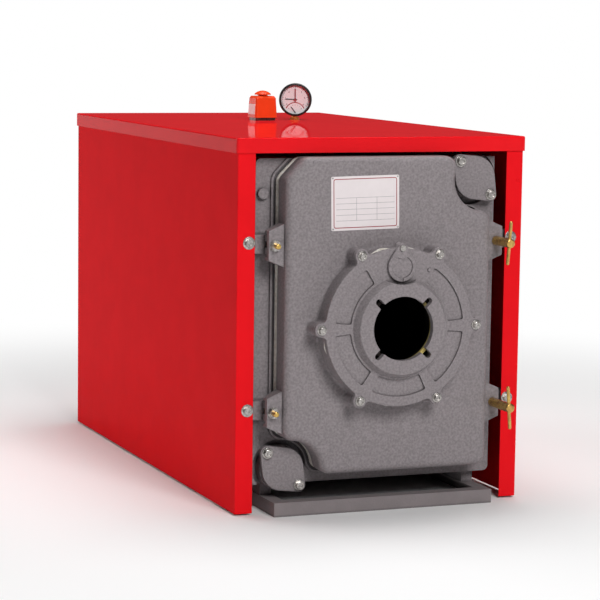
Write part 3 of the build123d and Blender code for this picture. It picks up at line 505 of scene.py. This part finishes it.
def rivet_tree():
    """Geometry nodes: low domed rivet head on each point."""
    tree = bpy.data.node_groups.new("rivets_on_points", "GeometryNodeTree")
    tree.interface.new_socket("Points", in_out="INPUT", socket_type="NodeSocketGeometry")
    for name in ("Head Radius", "Turn"):
        tree.interface.new_socket(name, in_out="INPUT", socket_type="NodeSocketFloat")
    tree.interface.new_socket("Finish", in_out="INPUT", socket_type="NodeSocketMaterial")
    tree.interface.new_socket("Rivets", in_out="OUTPUT", socket_type="NodeSocketGeometry")
    given = add_node(tree, "NodeGroupInput").outputs
    ball = add_node(tree, "GeometryNodeMeshUVSphere", {"Radius": given["Head Radius"]},
                    {"Segments": 24, "Rings": 12})
    dome = add_node(tree, "GeometryNodeTransform", {"Geometry": ball.outputs["Mesh"]},
                    {"Scale": RIVET_SQUASH})
    smooth = add_node(tree, "GeometryNodeSetShadeSmooth", {"Geometry": dome.outputs[0]})
    turn_angles = add_node(tree, "ShaderNodeCombineXYZ", {"X": given["Turn"]})
    turned = add_node(tree, "FunctionNodeEulerToRotation", {0: turn_angles.outputs[0]})
    place_on_points(tree, given, smooth.outputs[0], turned.outputs[0], "Rivets")
    return tree


def grown(name, points, tree, values):
    """Plain mesh that a geometry node tree grows on points."""
    mesh = bpy.data.meshes.new(name + "_points")
    mesh.from_pydata(points, [], [])
    carrier = bpy.data.objects.new(name + "_points", mesh)
    bpy.context.scene.collection.objects.link(carrier)
    modifier = carrier.modifiers.new(name, "NODES")
    modifier.node_group = tree
    for item in tree.interface.items_tree:
        if item.in_out == "INPUT" and item.name in values:
            modifier[item.identifier] = values[item.name]
    depsgraph = bpy.context.evaluated_depsgraph_get()
    result = bpy.data.meshes.new_from_object(carrier.evaluated_get(depsgraph))
    result.name = name
    carrier.modifiers.remove(modifier)
    bpy.data.objects.remove(carrier)
    return result


SIDE_GLOSS = 0.1
TOP_GLOSS = 0.55


class BOILER_OT_finishes(bpy.types.Operator):
    """Make the finishes and give them to the CAD nodes"""
    bl_idname = "boiler.finishes"
    bl_label = "Finishes"

    def execute(self, context):
        colours = context.scene.boiler_colours
        grey = tuple(colours.casting)
        casting = painted_casting("grey_painted_casting", grey)
        put_finish(red_enamel("red_stoved_enamel", colours, SIDE_GLOSS),
                   "left_side_panel", "right_side_panel", "back_panel")
        put_finish(red_enamel("red_enamel_wiped_glossy", colours, TOP_GLOSS), "top_cover")
        put_finish(casting, "burner_door", "burner_plate", "sight_cover",
                   "upper_port_cover", "lower_port_cover")
        # The front section's bore is black: soot, and painted shade of the dark furnace.
        front_casting = painted_casting("grey_casting_with_soot_and_shade_in_bore", grey)
        put_finish(sooted_bore(front_casting, FURNACE_RADIUS), "front_section")
        put_finish(painted_casting("grey_painted_angle_iron", tuple(colours.angle_iron), 0.05, 0.05),
                   "base_front_angle", "base_rear_angle", "base_left_rail", "base_right_rail")
        put_finish(sooted_iron(), "rear_section", *[f"middle_section_{number}" for number in range(1, 6)])
        put_finish(hood_paint(), "smoke_hood", "flue_collar", "flow_flange", "return_flange")
        put_finish(yellow_zinc(), "hinge_pins", "lower_hinge_stud", "upper_hinge_stud", "lower_clamp_screw",
                   "upper_clamp_screw", "lower_clamp_bar", "upper_clamp_bar")
        put_finish(zinc_plate("bright_zinc_plate", "#C4C0BC", "#8F8B88"), "hinge_nuts", "sight_cover_pin")
        # Dark zinc under the thermostat housing: painted shade of the gap beneath it.
        put_finish(zinc_plate("zinc_plate_darkened_as_shade", "#6A635F", "#3F3A38"), "thermostat_pocket")
        put_finish(white_fibre(), "door_rope", "plate_gasket")
        # The ring behind the burner plate is black with painted shade, except low on the right.
        put_finish(sooted_ring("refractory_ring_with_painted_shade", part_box("bore_ring")[0].y), "bore_ring")
        lining = cream_refractory("cream_refractory_fibre")
        # The lining's bore is black: soot, and painted shade of the dark furnace.
        put_finish(sooted_bore(lining, LINING_BORE_RADIUS), "door_lining")
        put_finish(orange_moulding(colours), "thermostat_housing", "thermostat_knob")
        put_finish(black_bezel(), "gauge_case")
        put_finish(printed_white("white_dial_lacquer", "#F1FAFC"), "gauge_dial")
        put_finish(gauge_glass(), "gauge_glass")
        put_finish(turned_brass(), "gauge_stem")
        return {"FINISHED"}


# How far the sight cover's pin stands out from the face under the burner plate's bolts.
PIN_REACH = 0.0111
PLATE_BOLT_RADIUS = 0.177
PLATE_BOLT = {"Head Height": 0.0075, "Washer Radius": 0.0105, "Washer Thickness": 0.0018, "Seed": 3}
PORT_PLACES = ((0.219, 0.710), (-0.219, 0.094))
PORT_BOLT_OFFSET = 0.0365
PORT_BOLT = {"Head Height": 0.009, "Washer Radius": 0.0122, "Washer Thickness": 0.0022, "Seed": 8}
JACKET_BOLT_PLACES = ((-0.304, 0.580), (0.304, 0.580), (-0.304, 0.225), (0.304, 0.225))
# Low enough for the hinge studs to pass when the door opens.
JACKET_BOLT = {"Head Height": 0.0052, "Washer Radius": 0.0135, "Washer Thickness": 0.0016, "Seed": 5}
BACK_SCREW_SIDE = 0.318
BACK_SCREW_HEIGHTS = (0.05, 0.28, 0.52, 0.74)
BACK_SCREW = {"Head Height": 0.004, "Washer Radius": 0.0065, "Washer Thickness": 0.001, "Seed": 2}
JACKET_RIVET_PLACE = (0.319, JACKET_FRONT, 0.704)
JACKET_RIVET_RADIUS = 0.0045


class BOILER_OT_bolts(bpy.types.Operator):
    """Bolt the burner plate, the port covers, the jacket's flanges and the back panel"""
    bl_idname = "boiler.bolts"
    bl_label = "Bolts and screws"

    def execute(self, context):
        sizes = context.scene.boiler_sizes
        plate_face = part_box("sight_cover_pin")[0].y + PIN_REACH
        lobes = [math.radians(60 * lobe) for lobe in range(6)]
        plate_points = [(PLATE_BOLT_RADIUS * math.cos(lobe), plate_face,
                         FURNACE_HEIGHT + PLATE_BOLT_RADIUS * math.sin(lobe)) for lobe in lobes]
        cover_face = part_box("upper_port_cover")[0].y
        cover_points = [(side + way * PORT_BOLT_OFFSET, cover_face, height - way * PORT_BOLT_OFFSET)
                        for side, height in PORT_PLACES for way in (-1, 1)]
        jacket_points = [(side, JACKET_FRONT, height) for side, height in JACKET_BOLT_PLACES]
        back_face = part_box("back_panel")[1].y
        back_points = [(way * BACK_SCREW_SIDE, back_face, height)
                       for way in (-1, 1) for height in BACK_SCREW_HEIGHTS]
        rows = (
            ("plate_bolts", plate_points, sizes.plate_bolt_flats, PLATE_BOLT, FRONT_TURN, "door"),
            ("port_cover_bolts", cover_points, sizes.port_bolt_flats, PORT_BOLT, FRONT_TURN, "boiler"),
            ("jacket_bolts", jacket_points, sizes.jacket_bolt_flats, JACKET_BOLT, FRONT_TURN, "boiler"),
            ("back_panel_screws", back_points, sizes.back_screw_flats, BACK_SCREW, BACK_TURN, "boiler"),
        )
        tree = bolt_tree()
        zinc = finish("bright_zinc_plate")
        for name, points, flats, shape, turn, body in rows:
            mesh = grown(name, points, tree, {"Across Flats": flats, "Turn": turn, "Finish": zinc, **shape})
            new_piece(name, mesh, zinc, body)
        enamel = finish("red_stoved_enamel")
        rivet = grown("jacket_rivet", [JACKET_RIVET_PLACE], rivet_tree(),
                      {"Head Radius": JACKET_RIVET_RADIUS, "Turn": FRONT_TURN, "Finish": enamel})
        new_piece("jacket_rivet", rivet, enamel, "boiler")
        return {"FINISHED"}


def loop_of(node_name):
    """Outer edge of a CAD seal's front face as (x, z) points in order."""
    mesh = NODES[node_name].data
    front = min(vertex.co.y for vertex in mesh.vertices)
    key = {vertex.index: (round(vertex.co.x, 6), round(vertex.co.z, 6)) for vertex in mesh.vertices
           if vertex.co.y < front + 1e-5}
    uses = {}
    for face in mesh.polygons:
        if all(index in key for index in face.vertices):
            corners = [key[index] for index in face.vertices]
            for start, end in zip(corners, corners[1:] + corners[:1]):
                uses[frozenset((start, end))] = uses.get(frozenset((start, end)), 0) + 1
    ways = {}
    for edge, count in uses.items():
        if count == 1 and len(edge) == 2:
            start, end = edge
            ways.setdefault(start, []).append(end)
            ways.setdefault(end, []).append(start)
    start = min(ways)
    loop = [start, ways[start][0]]
    while True:
        step = [point for point in ways[loop[-1]] if point != loop[-2]][0]
        if step == start:
            return loop
        loop.append(step)


def evenly_spaced(loop, spacing):
    """Points at even steps round a closed loop."""
    corners = [Vector(point) for point in loop] + [Vector(loop[0])]
    runs = [(b - a).length for a, b in zip(corners, corners[1:])]
    count = round(sum(runs) / spacing)
    step = sum(runs) / count
    points, run, along = [], 0, 0.0
    for number in range(count):
        target = number * step
        while along + runs[run] < target:
            along += runs[run]
            run += 1
        points.append(corners[run].lerp(corners[run + 1], (target - along) / runs[run]))
    return points


# The braid swells past the CAD rope by its bulge.
ROPE_BULGE = 0.0036
ROPE_STEP = 0.0022
ROPE_SIDES = 14
ROPE_PLAITS = 4
ROPE_PITCH = 0.011
ROPE_RELIEF = 0.10
ROPE_DEPTH_SHARE = 0.96


class BOILER_OT_door_rope(bpy.types.Operator):
    """Braid the rope seal round the door's rim"""
    bl_idname = "boiler.door_rope"
    bl_label = "Door rope"

    def execute(self, context):
        width = context.scene.boiler_sizes.rope_width
        low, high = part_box("door_rope")
        depth, middle = high.y - low.y, (low.y + high.y) / 2
        path = evenly_spaced(loop_of("door_rope"), ROPE_STEP)
        count = len(path)
        turns = round(count * ROPE_STEP / ROPE_PITCH)
        points = []
        for number, point in enumerate(path):
            along = (path[(number + 1) % count] - path[number - 1]).normalized()
            inward = Vector((-along.y, along.x))
            if inward.dot(Vector((0.0, FURNACE_HEIGHT)) - point) < 0:
                inward = -inward
            centre = point + inward * (width / 2 - ROPE_BULGE)
            phase = math.tau * turns * number / count
            for side in range(ROPE_SIDES):
                angle = math.tau * side / ROPE_SIDES
                relief = max(math.sin(phase + ROPE_PLAITS * angle), math.sin(phase - ROPE_PLAITS * angle))
                swell = 1 - ROPE_RELIEF + ROPE_RELIEF * relief
                across = centre + inward * math.cos(angle) * width / 2 * swell
                rise = math.sin(angle) * depth / 2 * ROPE_DEPTH_SHARE * swell
                points.append((across.x, middle + rise, across.y))
        faces = []
        for ring in range(count):
            here = ring * ROPE_SIDES
            after = (ring + 1) % count * ROPE_SIDES
            for side in range(ROPE_SIDES):
                beside = (side + 1) % ROPE_SIDES
                faces.append([here + side, here + beside, after + beside, after + side])
        mesh = mesh_of("braided_door_rope", points, faces)
        mesh.shade_smooth()
        rope = new_piece("braided_door_rope", mesh, finish("white_ceramic_fibre"), "door")
        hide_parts("door_rope")
        return {"FINISHED"}


GASKET_INNER_RADIUS = 0.138
GASKET_TRIM = 0.001
GASKET_STEPS = 360
GASKET_RIPPLE = 0.0005
# Where the gasket is squeezed out: place in degrees, reach in millimetres and half width in degrees.
GASKET_SPREADS = ((104, 6.5, 8), (80, 4.2, 5), (47, 4.2, 5), (194, 4.2, 5), (262, 4.6, 7))


class BOILER_OT_plate_gasket(bpy.types.Operator):
    """Cut the fibre gasket behind the burner plate, its edge squeezed out unevenly"""
    bl_idname = "boiler.plate_gasket"
    bl_label = "Plate gasket"

    def execute(self, context):
        low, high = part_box("plate_gasket")
        draws = random.Random(11)
        edge = (high.x - low.x) / 2 - GASKET_TRIM
        ripple = [draws.uniform(-GASKET_RIPPLE, GASKET_RIPPLE) for _ in range(GASKET_STEPS)]
        outer, inner = [], []
        for step in range(GASKET_STEPS):
            angle = math.tau * step / GASKET_STEPS
            spread = 0.0
            for place, most, reach in GASKET_SPREADS:
                away = (math.degrees(angle) - place + 180) % 360 - 180
                spread += most / 1000 * math.exp(-(away / reach) ** 2)
            radius = edge + spread + (ripple[step] + ripple[step - 1] + ripple[step - 2]) / 3
            outer.append((radius * math.cos(angle), radius * math.sin(angle)))
            inner.append((GASKET_INNER_RADIUS * math.cos(angle), GASKET_INNER_RADIUS * math.sin(angle)))
        points, faces = band(outer, inner, 0.0, high.y - low.y)
        mesh = mesh_of("squeezed_plate_gasket", points, faces, facing_front(0.0, high.y, FURNACE_HEIGHT))
        fibre = finish("white_ceramic_fibre")
        gasket = new_piece("squeezed_plate_gasket", mesh, fibre, "door")
        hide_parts("plate_gasket")
        return {"FINISHED"}


# Height of printed ink, thicker than real so that it isn't lost in the face under it.
INK = 0.0001
DATA_PLATE_PLACE = (-0.061, 0.6645)
DATA_PLATE_TILT = math.radians(1.2)
DATA_PLATE_SHEET = 0.0008
DATA_PLATE_CORNER = 0.003
BORDER_INSET = 0.005
BORDER_WIDTH = 0.0017
BORDER_CORNER = 0.005
RIVET_INSET = 0.0035
RIVET_RADIUS = 0.0019
RULE_ROWS = 5
RULE_WIDTH = 0.0006
# Places of the empty table's ruled lines, as shares of the plate's height and width.
RULE_TOP = 0.10
RULE_PITCH = 0.105
RULE_REACH = 0.43
RULE_COLUMNS = (-0.13, 0.17)


class BOILER_OT_data_plate(bpy.types.Operator):
    """Rivet a bare data plate with ruled lines to the door"""
    bl_idname = "boiler.data_plate"
    bl_label = "Data plate"

    def execute(self, context):
        sizes = context.scene.boiler_sizes
        width, height = sizes.data_plate_width, sizes.data_plate_height
        place = facing_front(DATA_PLATE_PLACE[0], DOOR_FACE, DATA_PLATE_PLACE[1])
        place = place @ Matrix.Rotation(DATA_PLATE_TILT, 4, "Z")
        white = printed_white("white_data_plate_lacquer", "#E6DDDE")
        sheet = prism(rounded_box(width, height, DATA_PLATE_CORNER), 0.0, DATA_PLATE_SHEET)
        new_piece("data_plate", mesh_of("data_plate", *sheet, place), white, "door")
        print_low, print_high = DATA_PLATE_SHEET - INK, DATA_PLATE_SHEET + INK
        outside = 2 * BORDER_INSET
        inside = outside + 2 * BORDER_WIDTH
        border = band(rounded_box(width - outside, height - outside, BORDER_CORNER),
                      rounded_box(width - inside, height - inside, BORDER_CORNER - BORDER_WIDTH),
                      print_low, print_high)
        red = printing_ink("dark_red_ink", "#9C2A33")
        new_piece("data_plate_border", mesh_of("data_plate_border", *border, place), red, "door")
        levels = [height * (RULE_TOP - RULE_PITCH * row) for row in range(RULE_ROWS)]
        lines = [((-width * RULE_REACH, level), (width * RULE_REACH, level)) for level in levels]
        lines += [((width * side, levels[-1]), (width * side, levels[0])) for side in RULE_COLUMNS]
        rules = [prism(strip(start, end, RULE_WIDTH), print_low, print_high) for start, end in lines]
        grey = printing_ink("grey_ink", "#8E8A8E")
        new_piece("data_plate_rules", mesh_of("data_plate_rules", *join_shapes(rules), place), grey, "door")
        zinc = finish("bright_zinc_plate")
        across, up = width / 2 - RIVET_INSET, height / 2 - RIVET_INSET
        corners = [place @ Vector((way * across, rise * up, DATA_PLATE_SHEET))
                   for way in (-1, 1) for rise in (-1, 1)]
        rivets = grown("data_plate_rivets", corners, bpy.data.node_groups["rivets_on_points"],
                       {"Head Radius": RIVET_RADIUS, "Turn": FRONT_TURN, "Finish": zinc})
        new_piece("data_plate_rivets", rivets, zinc, "door")
        return {"FINISHED"}


def number_mesh(words, size, place):
    """Points and faces of a flat number at a place on the dial."""
    text = bpy.data.curves.new("dial_number", "FONT")
    text.body, text.size = words, size
    text.align_x, text.align_y = "CENTER", "CENTER"
    text.extrude = INK / 2
    holder = bpy.data.objects.new("dial_number", text)
    mesh = bpy.data.meshes.new_from_object(holder)
    shift = Vector((*place, INK / 2))
    shape = ([tuple(vertex.co + shift) for vertex in mesh.vertices],
             [list(face.vertices) for face in mesh.polygons])
    bpy.data.objects.remove(holder)
    bpy.data.curves.remove(text)
    bpy.data.meshes.remove(mesh)
    return shape


def on_circle(radius, degrees, centre=(0.0, 0.0)):
    """Point on a circle of the dial, turned clockwise from the top."""
    turn = math.radians(degrees)
    return centre[0] + radius * math.sin(turn), centre[1] + radius * math.cos(turn)


def arc_band(radius, width, span, centre=(0.0, 0.0), steps=40):
    """Flat printed arc on the dial, to either side of its top by a span in degrees."""
    turns = [-span + 2 * span * i / steps for i in range(steps + 1)]
    outline = [on_circle(radius + width / 2, turn, centre) for turn in turns]
    outline += [on_circle(radius - width / 2, turn, centre) for turn in reversed(turns)]
    total = len(outline)
    points = [(x, y, level) for level in (0.0, INK) for x, y in outline]
    faces = [[i, (i + 1) % total, total + (i + 1) % total, total + i] for i in range(total)]
    for base, order in ((0, -1), (total, 1)):
        for i in range(steps):
            face = [base + i, base + total - 1 - i, base + total - 2 - i, base + i + 1]
            faces.append(face[::order])
    return points, faces


def tick(inner, outer, degrees, width, centre=(0.0, 0.0)):
    """Flat printed tick on the dial between two radii."""
    return prism(strip(on_circle(inner, degrees, centre), on_circle(outer, degrees, centre), width), 0.0, INK)


def disc(radius, sides, high, centre=(0.0, 0.0)):
    """Round hub of a pointer, standing on the dial."""
    return prism([on_circle(radius, 360 * side / sides, centre) for side in range(sides)], 0.0, high)


def pointer(tail, tip, width, low, high):
    """Straight pointer between two heights over the dial."""
    return prism(strip(tail, tip, width), low, high)


GAUGE_CENTRE = Vector((0.109, 0.227, 0.849))
GAUGE_TURN = math.radians(15)
DIAL_REACH = 0.005
# Upper scale: an arc with 25 ticks, each fourth one longer and numbered.
SCALE_RADIUS = 0.0325
SCALE_WIDTH = 0.0009
SCALE_SPAN = 120
TICK_OUTER = 0.0328
LONG_TICK_INNER = 0.0285
SHORT_TICK_INNER = 0.0303
TICK_WIDTH = 0.0007
NUMBER_RADIUS = 0.0240
NUMBER_SIZE = 0.0062
# Lower scale: seven ticks under a red arc, about a centre low on the dial.
LOWER_CENTRE = (0.0, -0.0310)
LOWER_TICK_SPAN = 60
LOWER_TICK_RADII = (0.0170, 0.0195)
LOWER_TICK_WIDTH = 0.0006
LOWER_ARC_RADIUS = 0.0240
LOWER_ARC_WIDTH = 0.0022
LOWER_ARC_SPAN = 66
# Pointers: tail, tip, width, and the heights of their underside and top.
SET_POINTER = ((0.0, -0.006), (0.0, 0.0270), 0.0027, 0.0016, 0.0022)
UPPER_POINTER = ((0.005, 0.0), (-0.0240, 0.0012), 0.0025, 0.0007, 0.0012)
LOWER_POINTER = (on_circle(0.002, 142, LOWER_CENTRE), on_circle(0.0165, -38, LOWER_CENTRE),
                 0.0024, 0.0007, 0.0012)
HUB_RADIUS, HUB_HEIGHT = 0.0034, 0.0030
LOWER_HUB_RADIUS, LOWER_HUB_HEIGHT = 0.0016, 0.0016


class BOILER_OT_gauge_face(bpy.types.Operator):
    """Print the gauge's two scales and fit its pointers"""
    bl_idname = "boiler.gauge_face"
    bl_label = "Gauge face"

    def execute(self, context):
        place = (Matrix.Translation(GAUGE_CENTRE) @ Matrix.Rotation(-GAUGE_TURN, 4, "Z")
                 @ Matrix.Rotation(FRONT_TURN, 4, "X") @ Matrix.Translation((0.0, 0.0, DIAL_REACH)))
        marks = [arc_band(SCALE_RADIUS, SCALE_WIDTH, SCALE_SPAN)]
        for step in range(25):
            inner = LONG_TICK_INNER if step % 4 == 0 else SHORT_TICK_INNER
            marks.append(tick(inner, TICK_OUTER, -SCALE_SPAN + 10 * step, TICK_WIDTH))
        for step in range(7):
            spot = on_circle(NUMBER_RADIUS, -SCALE_SPAN + 40 * step)
            marks.append(number_mesh(str(step), NUMBER_SIZE, spot))
        for step in range(7):
            turn = -LOWER_TICK_SPAN + 20 * step
            marks.append(tick(*LOWER_TICK_RADII, turn, LOWER_TICK_WIDTH, LOWER_CENTRE))
        reds = [arc_band(LOWER_ARC_RADIUS, LOWER_ARC_WIDTH, LOWER_ARC_SPAN, LOWER_CENTRE),
                pointer(*SET_POINTER), disc(HUB_RADIUS, 36, HUB_HEIGHT)]
        blacks = [pointer(*UPPER_POINTER), pointer(*LOWER_POINTER),
                  disc(LOWER_HUB_RADIUS, 24, LOWER_HUB_HEIGHT, LOWER_CENTRE)]
        black = printing_ink("black_dial_ink", "#2A2729")
        red = finish("dark_red_ink")
        for name, shapes, ink in (("gauge_marks", marks, black), ("gauge_set_pointer", reds, red),
                                  ("gauge_pointers", blacks, black)):
            new_piece(name, mesh_of(name, *join_shapes(shapes), place), ink, "boiler")
        return {"FINISHED"}


THERMOSTAT_CENTRE = (0.014, 0.200)
THERMOSTAT_TURN = math.radians(5.5)
THERMOSTAT_DRAFT = math.radians(4)
THERMOSTAT_HALF_WIDTH = 0.030
LABEL_RISE = 0.020
LABEL_WIDTH, LABEL_HEIGHT, LABEL_CORNER = 0.034, 0.025, 0.002
LABEL_LOW, LABEL_HIGH = -0.0002, 0.0008


class BOILER_OT_thermostat_label(bpy.types.Operator):
    """Stick the bare white label on the thermostat's left face"""
    bl_idname = "boiler.thermostat_label"
    bl_label = "Thermostat label"

    def execute(self, context):
        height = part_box("thermostat_housing")[0].z + LABEL_RISE
        out = THERMOSTAT_HALF_WIDTH - LABEL_RISE * math.tan(THERMOSTAT_DRAFT)
        place = (Matrix.Translation((*THERMOSTAT_CENTRE, height)) @ Matrix.Rotation(THERMOSTAT_TURN, 4, "Z")
                 @ Matrix.Translation((-out, 0.0, 0.0)) @ Matrix.Rotation(math.radians(-90), 4, "Z")
                 @ Matrix.Rotation(FRONT_TURN - THERMOSTAT_DRAFT, 4, "X"))
        label = prism(rounded_box(LABEL_WIDTH, LABEL_HEIGHT, LABEL_CORNER), LABEL_LOW, LABEL_HIGH)
        white = printed_white("white_label_paper", "#F4F2F0")
        new_piece("thermostat_label", mesh_of("thermostat_label", *label, place), white, "boiler")
        return {"FINISHED"}


CAMERA_PLACE = Vector((-1.9765, -5.1274, 1.0502))
CAMERA_YAW, CAMERA_PITCH, CAMERA_ROLL = 0.374779, 0.120860, 0.0138313
CAMERA_LENS = 139.67
CAMERA_SENSOR = 36.0
CAMERA_CLIP_END = 200.0
# Soft boxes: name, place, aim, size in metres and power in watts.
LIGHTS = (
    ("key_softbox", (0.1, -5.0, 3.2), (0.0, -0.5, 0.4), 2.0, 186.0),
    ("side_softbox", (-3.2, 3.4, 2.0), (-0.33, 0.0, 0.4), 2.6, 80.0),
    ("top_softbox", (0.3, 0.4, 4.4), (0.0, 0.0, 0.8), 2.4, 125.0),
)
FLOOR_RINGS = (1.0, 2.0, 4.0, 8.0, 16.0, 30.0)
FLOOR_SIDES = 96
# Distances from the object between which the floor turns to an even white.
FLOOR_FADE_START, FLOOR_FADE_END = 0.9, 2.6
FILL_LIGHT = 0.025
# Heights in a unit sphere between which the studio goes from white to dim, so that the top cover has
# something dark to mirror.
DIM_START, DIM_END, DIM_LIGHT = 0.012, 0.034, 0.05


def seen_or_mirrored(tree):
    """Share that is 1 for what the camera sees directly, in gloss or through glass, and 0 for lighting."""
    path = add_node(tree, "ShaderNodeLightPath").outputs
    seen = add_node(tree, "ShaderNodeMath", {0: path["Is Camera Ray"], 1: path["Is Glossy Ray"]},
                    operation="ADD")
    seen = add_node(tree, "ShaderNodeMath", {0: seen.outputs[0], 1: path["Is Transmission Ray"]},
                    operation="ADD", use_clamp=True)
    return seen.outputs[0]


class BOILER_OT_stage(bpy.types.Operator):
    """Set up the pale floor, the soft lights and the camera"""
    bl_idname = "boiler.stage"
    bl_label = "Stage"

    def execute(self, context):
        scene = context.scene
        scene.view_settings.view_transform = "Standard"
        self.lay_floor(scene)
        self.hang_world(scene)
        for name, place, aim, size, watts in LIGHTS:
            lamp = bpy.data.lights.new(name, "AREA")
            lamp.size, lamp.energy = size, watts
            holder = bpy.data.objects.new(name, lamp)
            holder.location = place
            holder.rotation_euler = (Vector(aim) - Vector(place)).to_track_quat("-Z", "Y").to_euler()
            scene.collection.objects.link(holder)
        camera = bpy.data.cameras.new("photo_camera")
        camera.lens, camera.sensor_width = CAMERA_LENS, CAMERA_SENSOR
        camera.clip_end = CAMERA_CLIP_END
        holder = bpy.data.objects.new("photo_camera", camera)
        holder.matrix_world = (Matrix.Translation(CAMERA_PLACE) @ Matrix.Rotation(-CAMERA_YAW, 4, "Z")
                               @ Matrix.Rotation(math.radians(90) - CAMERA_PITCH, 4, "X")
                               @ Matrix.Rotation(CAMERA_ROLL, 4, "Z"))
        scene.collection.objects.link(holder)
        scene.camera = holder
        return {"FINISHED"}

    def lay_floor(self, scene):
        """Round floor: plain matt near the object, fading to an even white with distance."""
        turns = [math.tau * i / FLOOR_SIDES for i in range(FLOOR_SIDES)]
        points = [(0.0, 0.0, 0.0)]
        faces = []
        for ring, radius in enumerate(FLOOR_RINGS):
            start = len(points)
            points += [(radius * math.cos(turn), radius * math.sin(turn), 0.0) for turn in turns]
            for i in range(FLOOR_SIDES):
                after = (i + 1) % FLOOR_SIDES
                if ring == 0:
                    faces.append([0, start + i, start + after])
                else:
                    inner = start - FLOOR_SIDES
                    faces.append([inner + i, start + i, start + after, inner + after])
        mesh = bpy.data.meshes.new("studio_floor")
        mesh.from_pydata(points, [], faces)
        material = bpy.data.materials.new("pale_studio_floor")
        material.use_nodes = True
        tree = material.node_tree
        tree.nodes.clear()
        place = add_node(tree, "ShaderNodeTexCoord").outputs["Object"]
        distance = add_node(tree, "ShaderNodeVectorMath", {0: place}, operation="LENGTH").outputs["Value"]
        far = add_node(tree, "ShaderNodeMapRange", {"Value": distance},
                       {"From Min": FLOOR_FADE_START, "From Max": FLOOR_FADE_END},
                       interpolation_type="SMOOTHSTEP").outputs[0]
        share = add_node(tree, "ShaderNodeMath", {0: seen_or_mirrored(tree), 1: far}, operation="MULTIPLY")
        matt = add_node(tree, "ShaderNodeBsdfDiffuse", values={"Color": tuple(scene.boiler_colours.floor)})
        white = add_node(tree, "ShaderNodeEmission", values={"Color": WHITE, "Strength": 1.0})
        mixed = add_node(tree, "ShaderNodeMixShader",
                         {0: share.outputs[0], 1: matt.outputs[0], 2: white.outputs[0]})
        add_node(tree, "ShaderNodeOutputMaterial", {"Surface": mixed.outputs[0]})
        mesh.materials.append(material)
        floor = bpy.data.objects.new("studio_floor", mesh)
        scene.collection.objects.link(floor)

    def hang_world(self, scene):
        """Even fill light; seen directly or in gloss it is white at the horizon and a dim studio above."""
        world = bpy.data.worlds.new("plain_studio")
        scene.world = world
        world.use_nodes = True
        tree = world.node_tree
        tree.nodes.clear()
        direction = add_node(tree, "ShaderNodeTexCoord").outputs["Generated"]
        height = add_node(tree, "ShaderNodeSeparateXYZ", {0: direction}).outputs["Z"]
        dim = add_node(tree, "ShaderNodeMapRange", {"Value": height},
                       {"From Min": DIM_START, "From Max": DIM_END, "To Min": 1.0, "To Max": DIM_LIGHT})
        fill = add_node(tree, "ShaderNodeBackground", values={"Color": WHITE, "Strength": FILL_LIGHT})
        view = add_node(tree, "ShaderNodeBackground", {"Strength": dim.outputs[0]}, {"Color": WHITE})
        mixed = add_node(tree, "ShaderNodeMixShader",
                         {0: seen_or_mirrored(tree), 1: fill.outputs[0], 2: view.outputs[0]})
        add_node(tree, "ShaderNodeOutputWorld", {"Surface": mixed.outputs[0]})


class BOILER_PT_pieces(bpy.types.Panel):
    """Lists the boiler's pieces, sizes and colours"""
    bl_idname = "BOILER_PT_pieces"
    bl_label = "Sectional Boiler"
    bl_space_type = "VIEW_3D"
    bl_region_type = "UI"
    bl_category = "Boiler"

    def draw(self, context):
        for group in (context.scene.boiler_sizes, context.scene.boiler_colours):
            for name in group.__annotations__:
                self.layout.prop(group, name)
        for operator in OPERATORS:
            self.layout.operator(operator.bl_idname)


OPERATORS = (BOILER_OT_finishes, BOILER_OT_bolts, BOILER_OT_door_rope, BOILER_OT_plate_gasket,
             BOILER_OT_data_plate, BOILER_OT_gauge_face, BOILER_OT_thermostat_label, BOILER_OT_stage)
CLASSES = (BoilerSizes, BoilerColours) + OPERATORS + (BOILER_PT_pieces,)


def register():
    """Register the classes and hang the settings on the scene."""
    for one in CLASSES:
        bpy.utils.register_class(one)
    bpy.types.Scene.boiler_sizes = PointerProperty(type=BoilerSizes)
    bpy.types.Scene.boiler_colours = PointerProperty(type=BoilerColours)


def unregister():
    """Take the settings and classes away again."""
    del bpy.types.Scene.boiler_colours
    del bpy.types.Scene.boiler_sizes
    for one in reversed(CLASSES):
        bpy.utils.unregister_class(one)


def main():
    """Dress the boiler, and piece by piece."""
    register()
    bpy.ops.boiler.finishes()
    bpy.ops.boiler.bolts()
    bpy.ops.boiler.door_rope()
    bpy.ops.boiler.plate_gasket()
    bpy.ops.boiler.data_plate()
    bpy.ops.boiler.gauge_face()
    bpy.ops.boiler.thermostat_label()
    bpy.ops.boiler.stage()


if __name__ == "__main__":
    main()
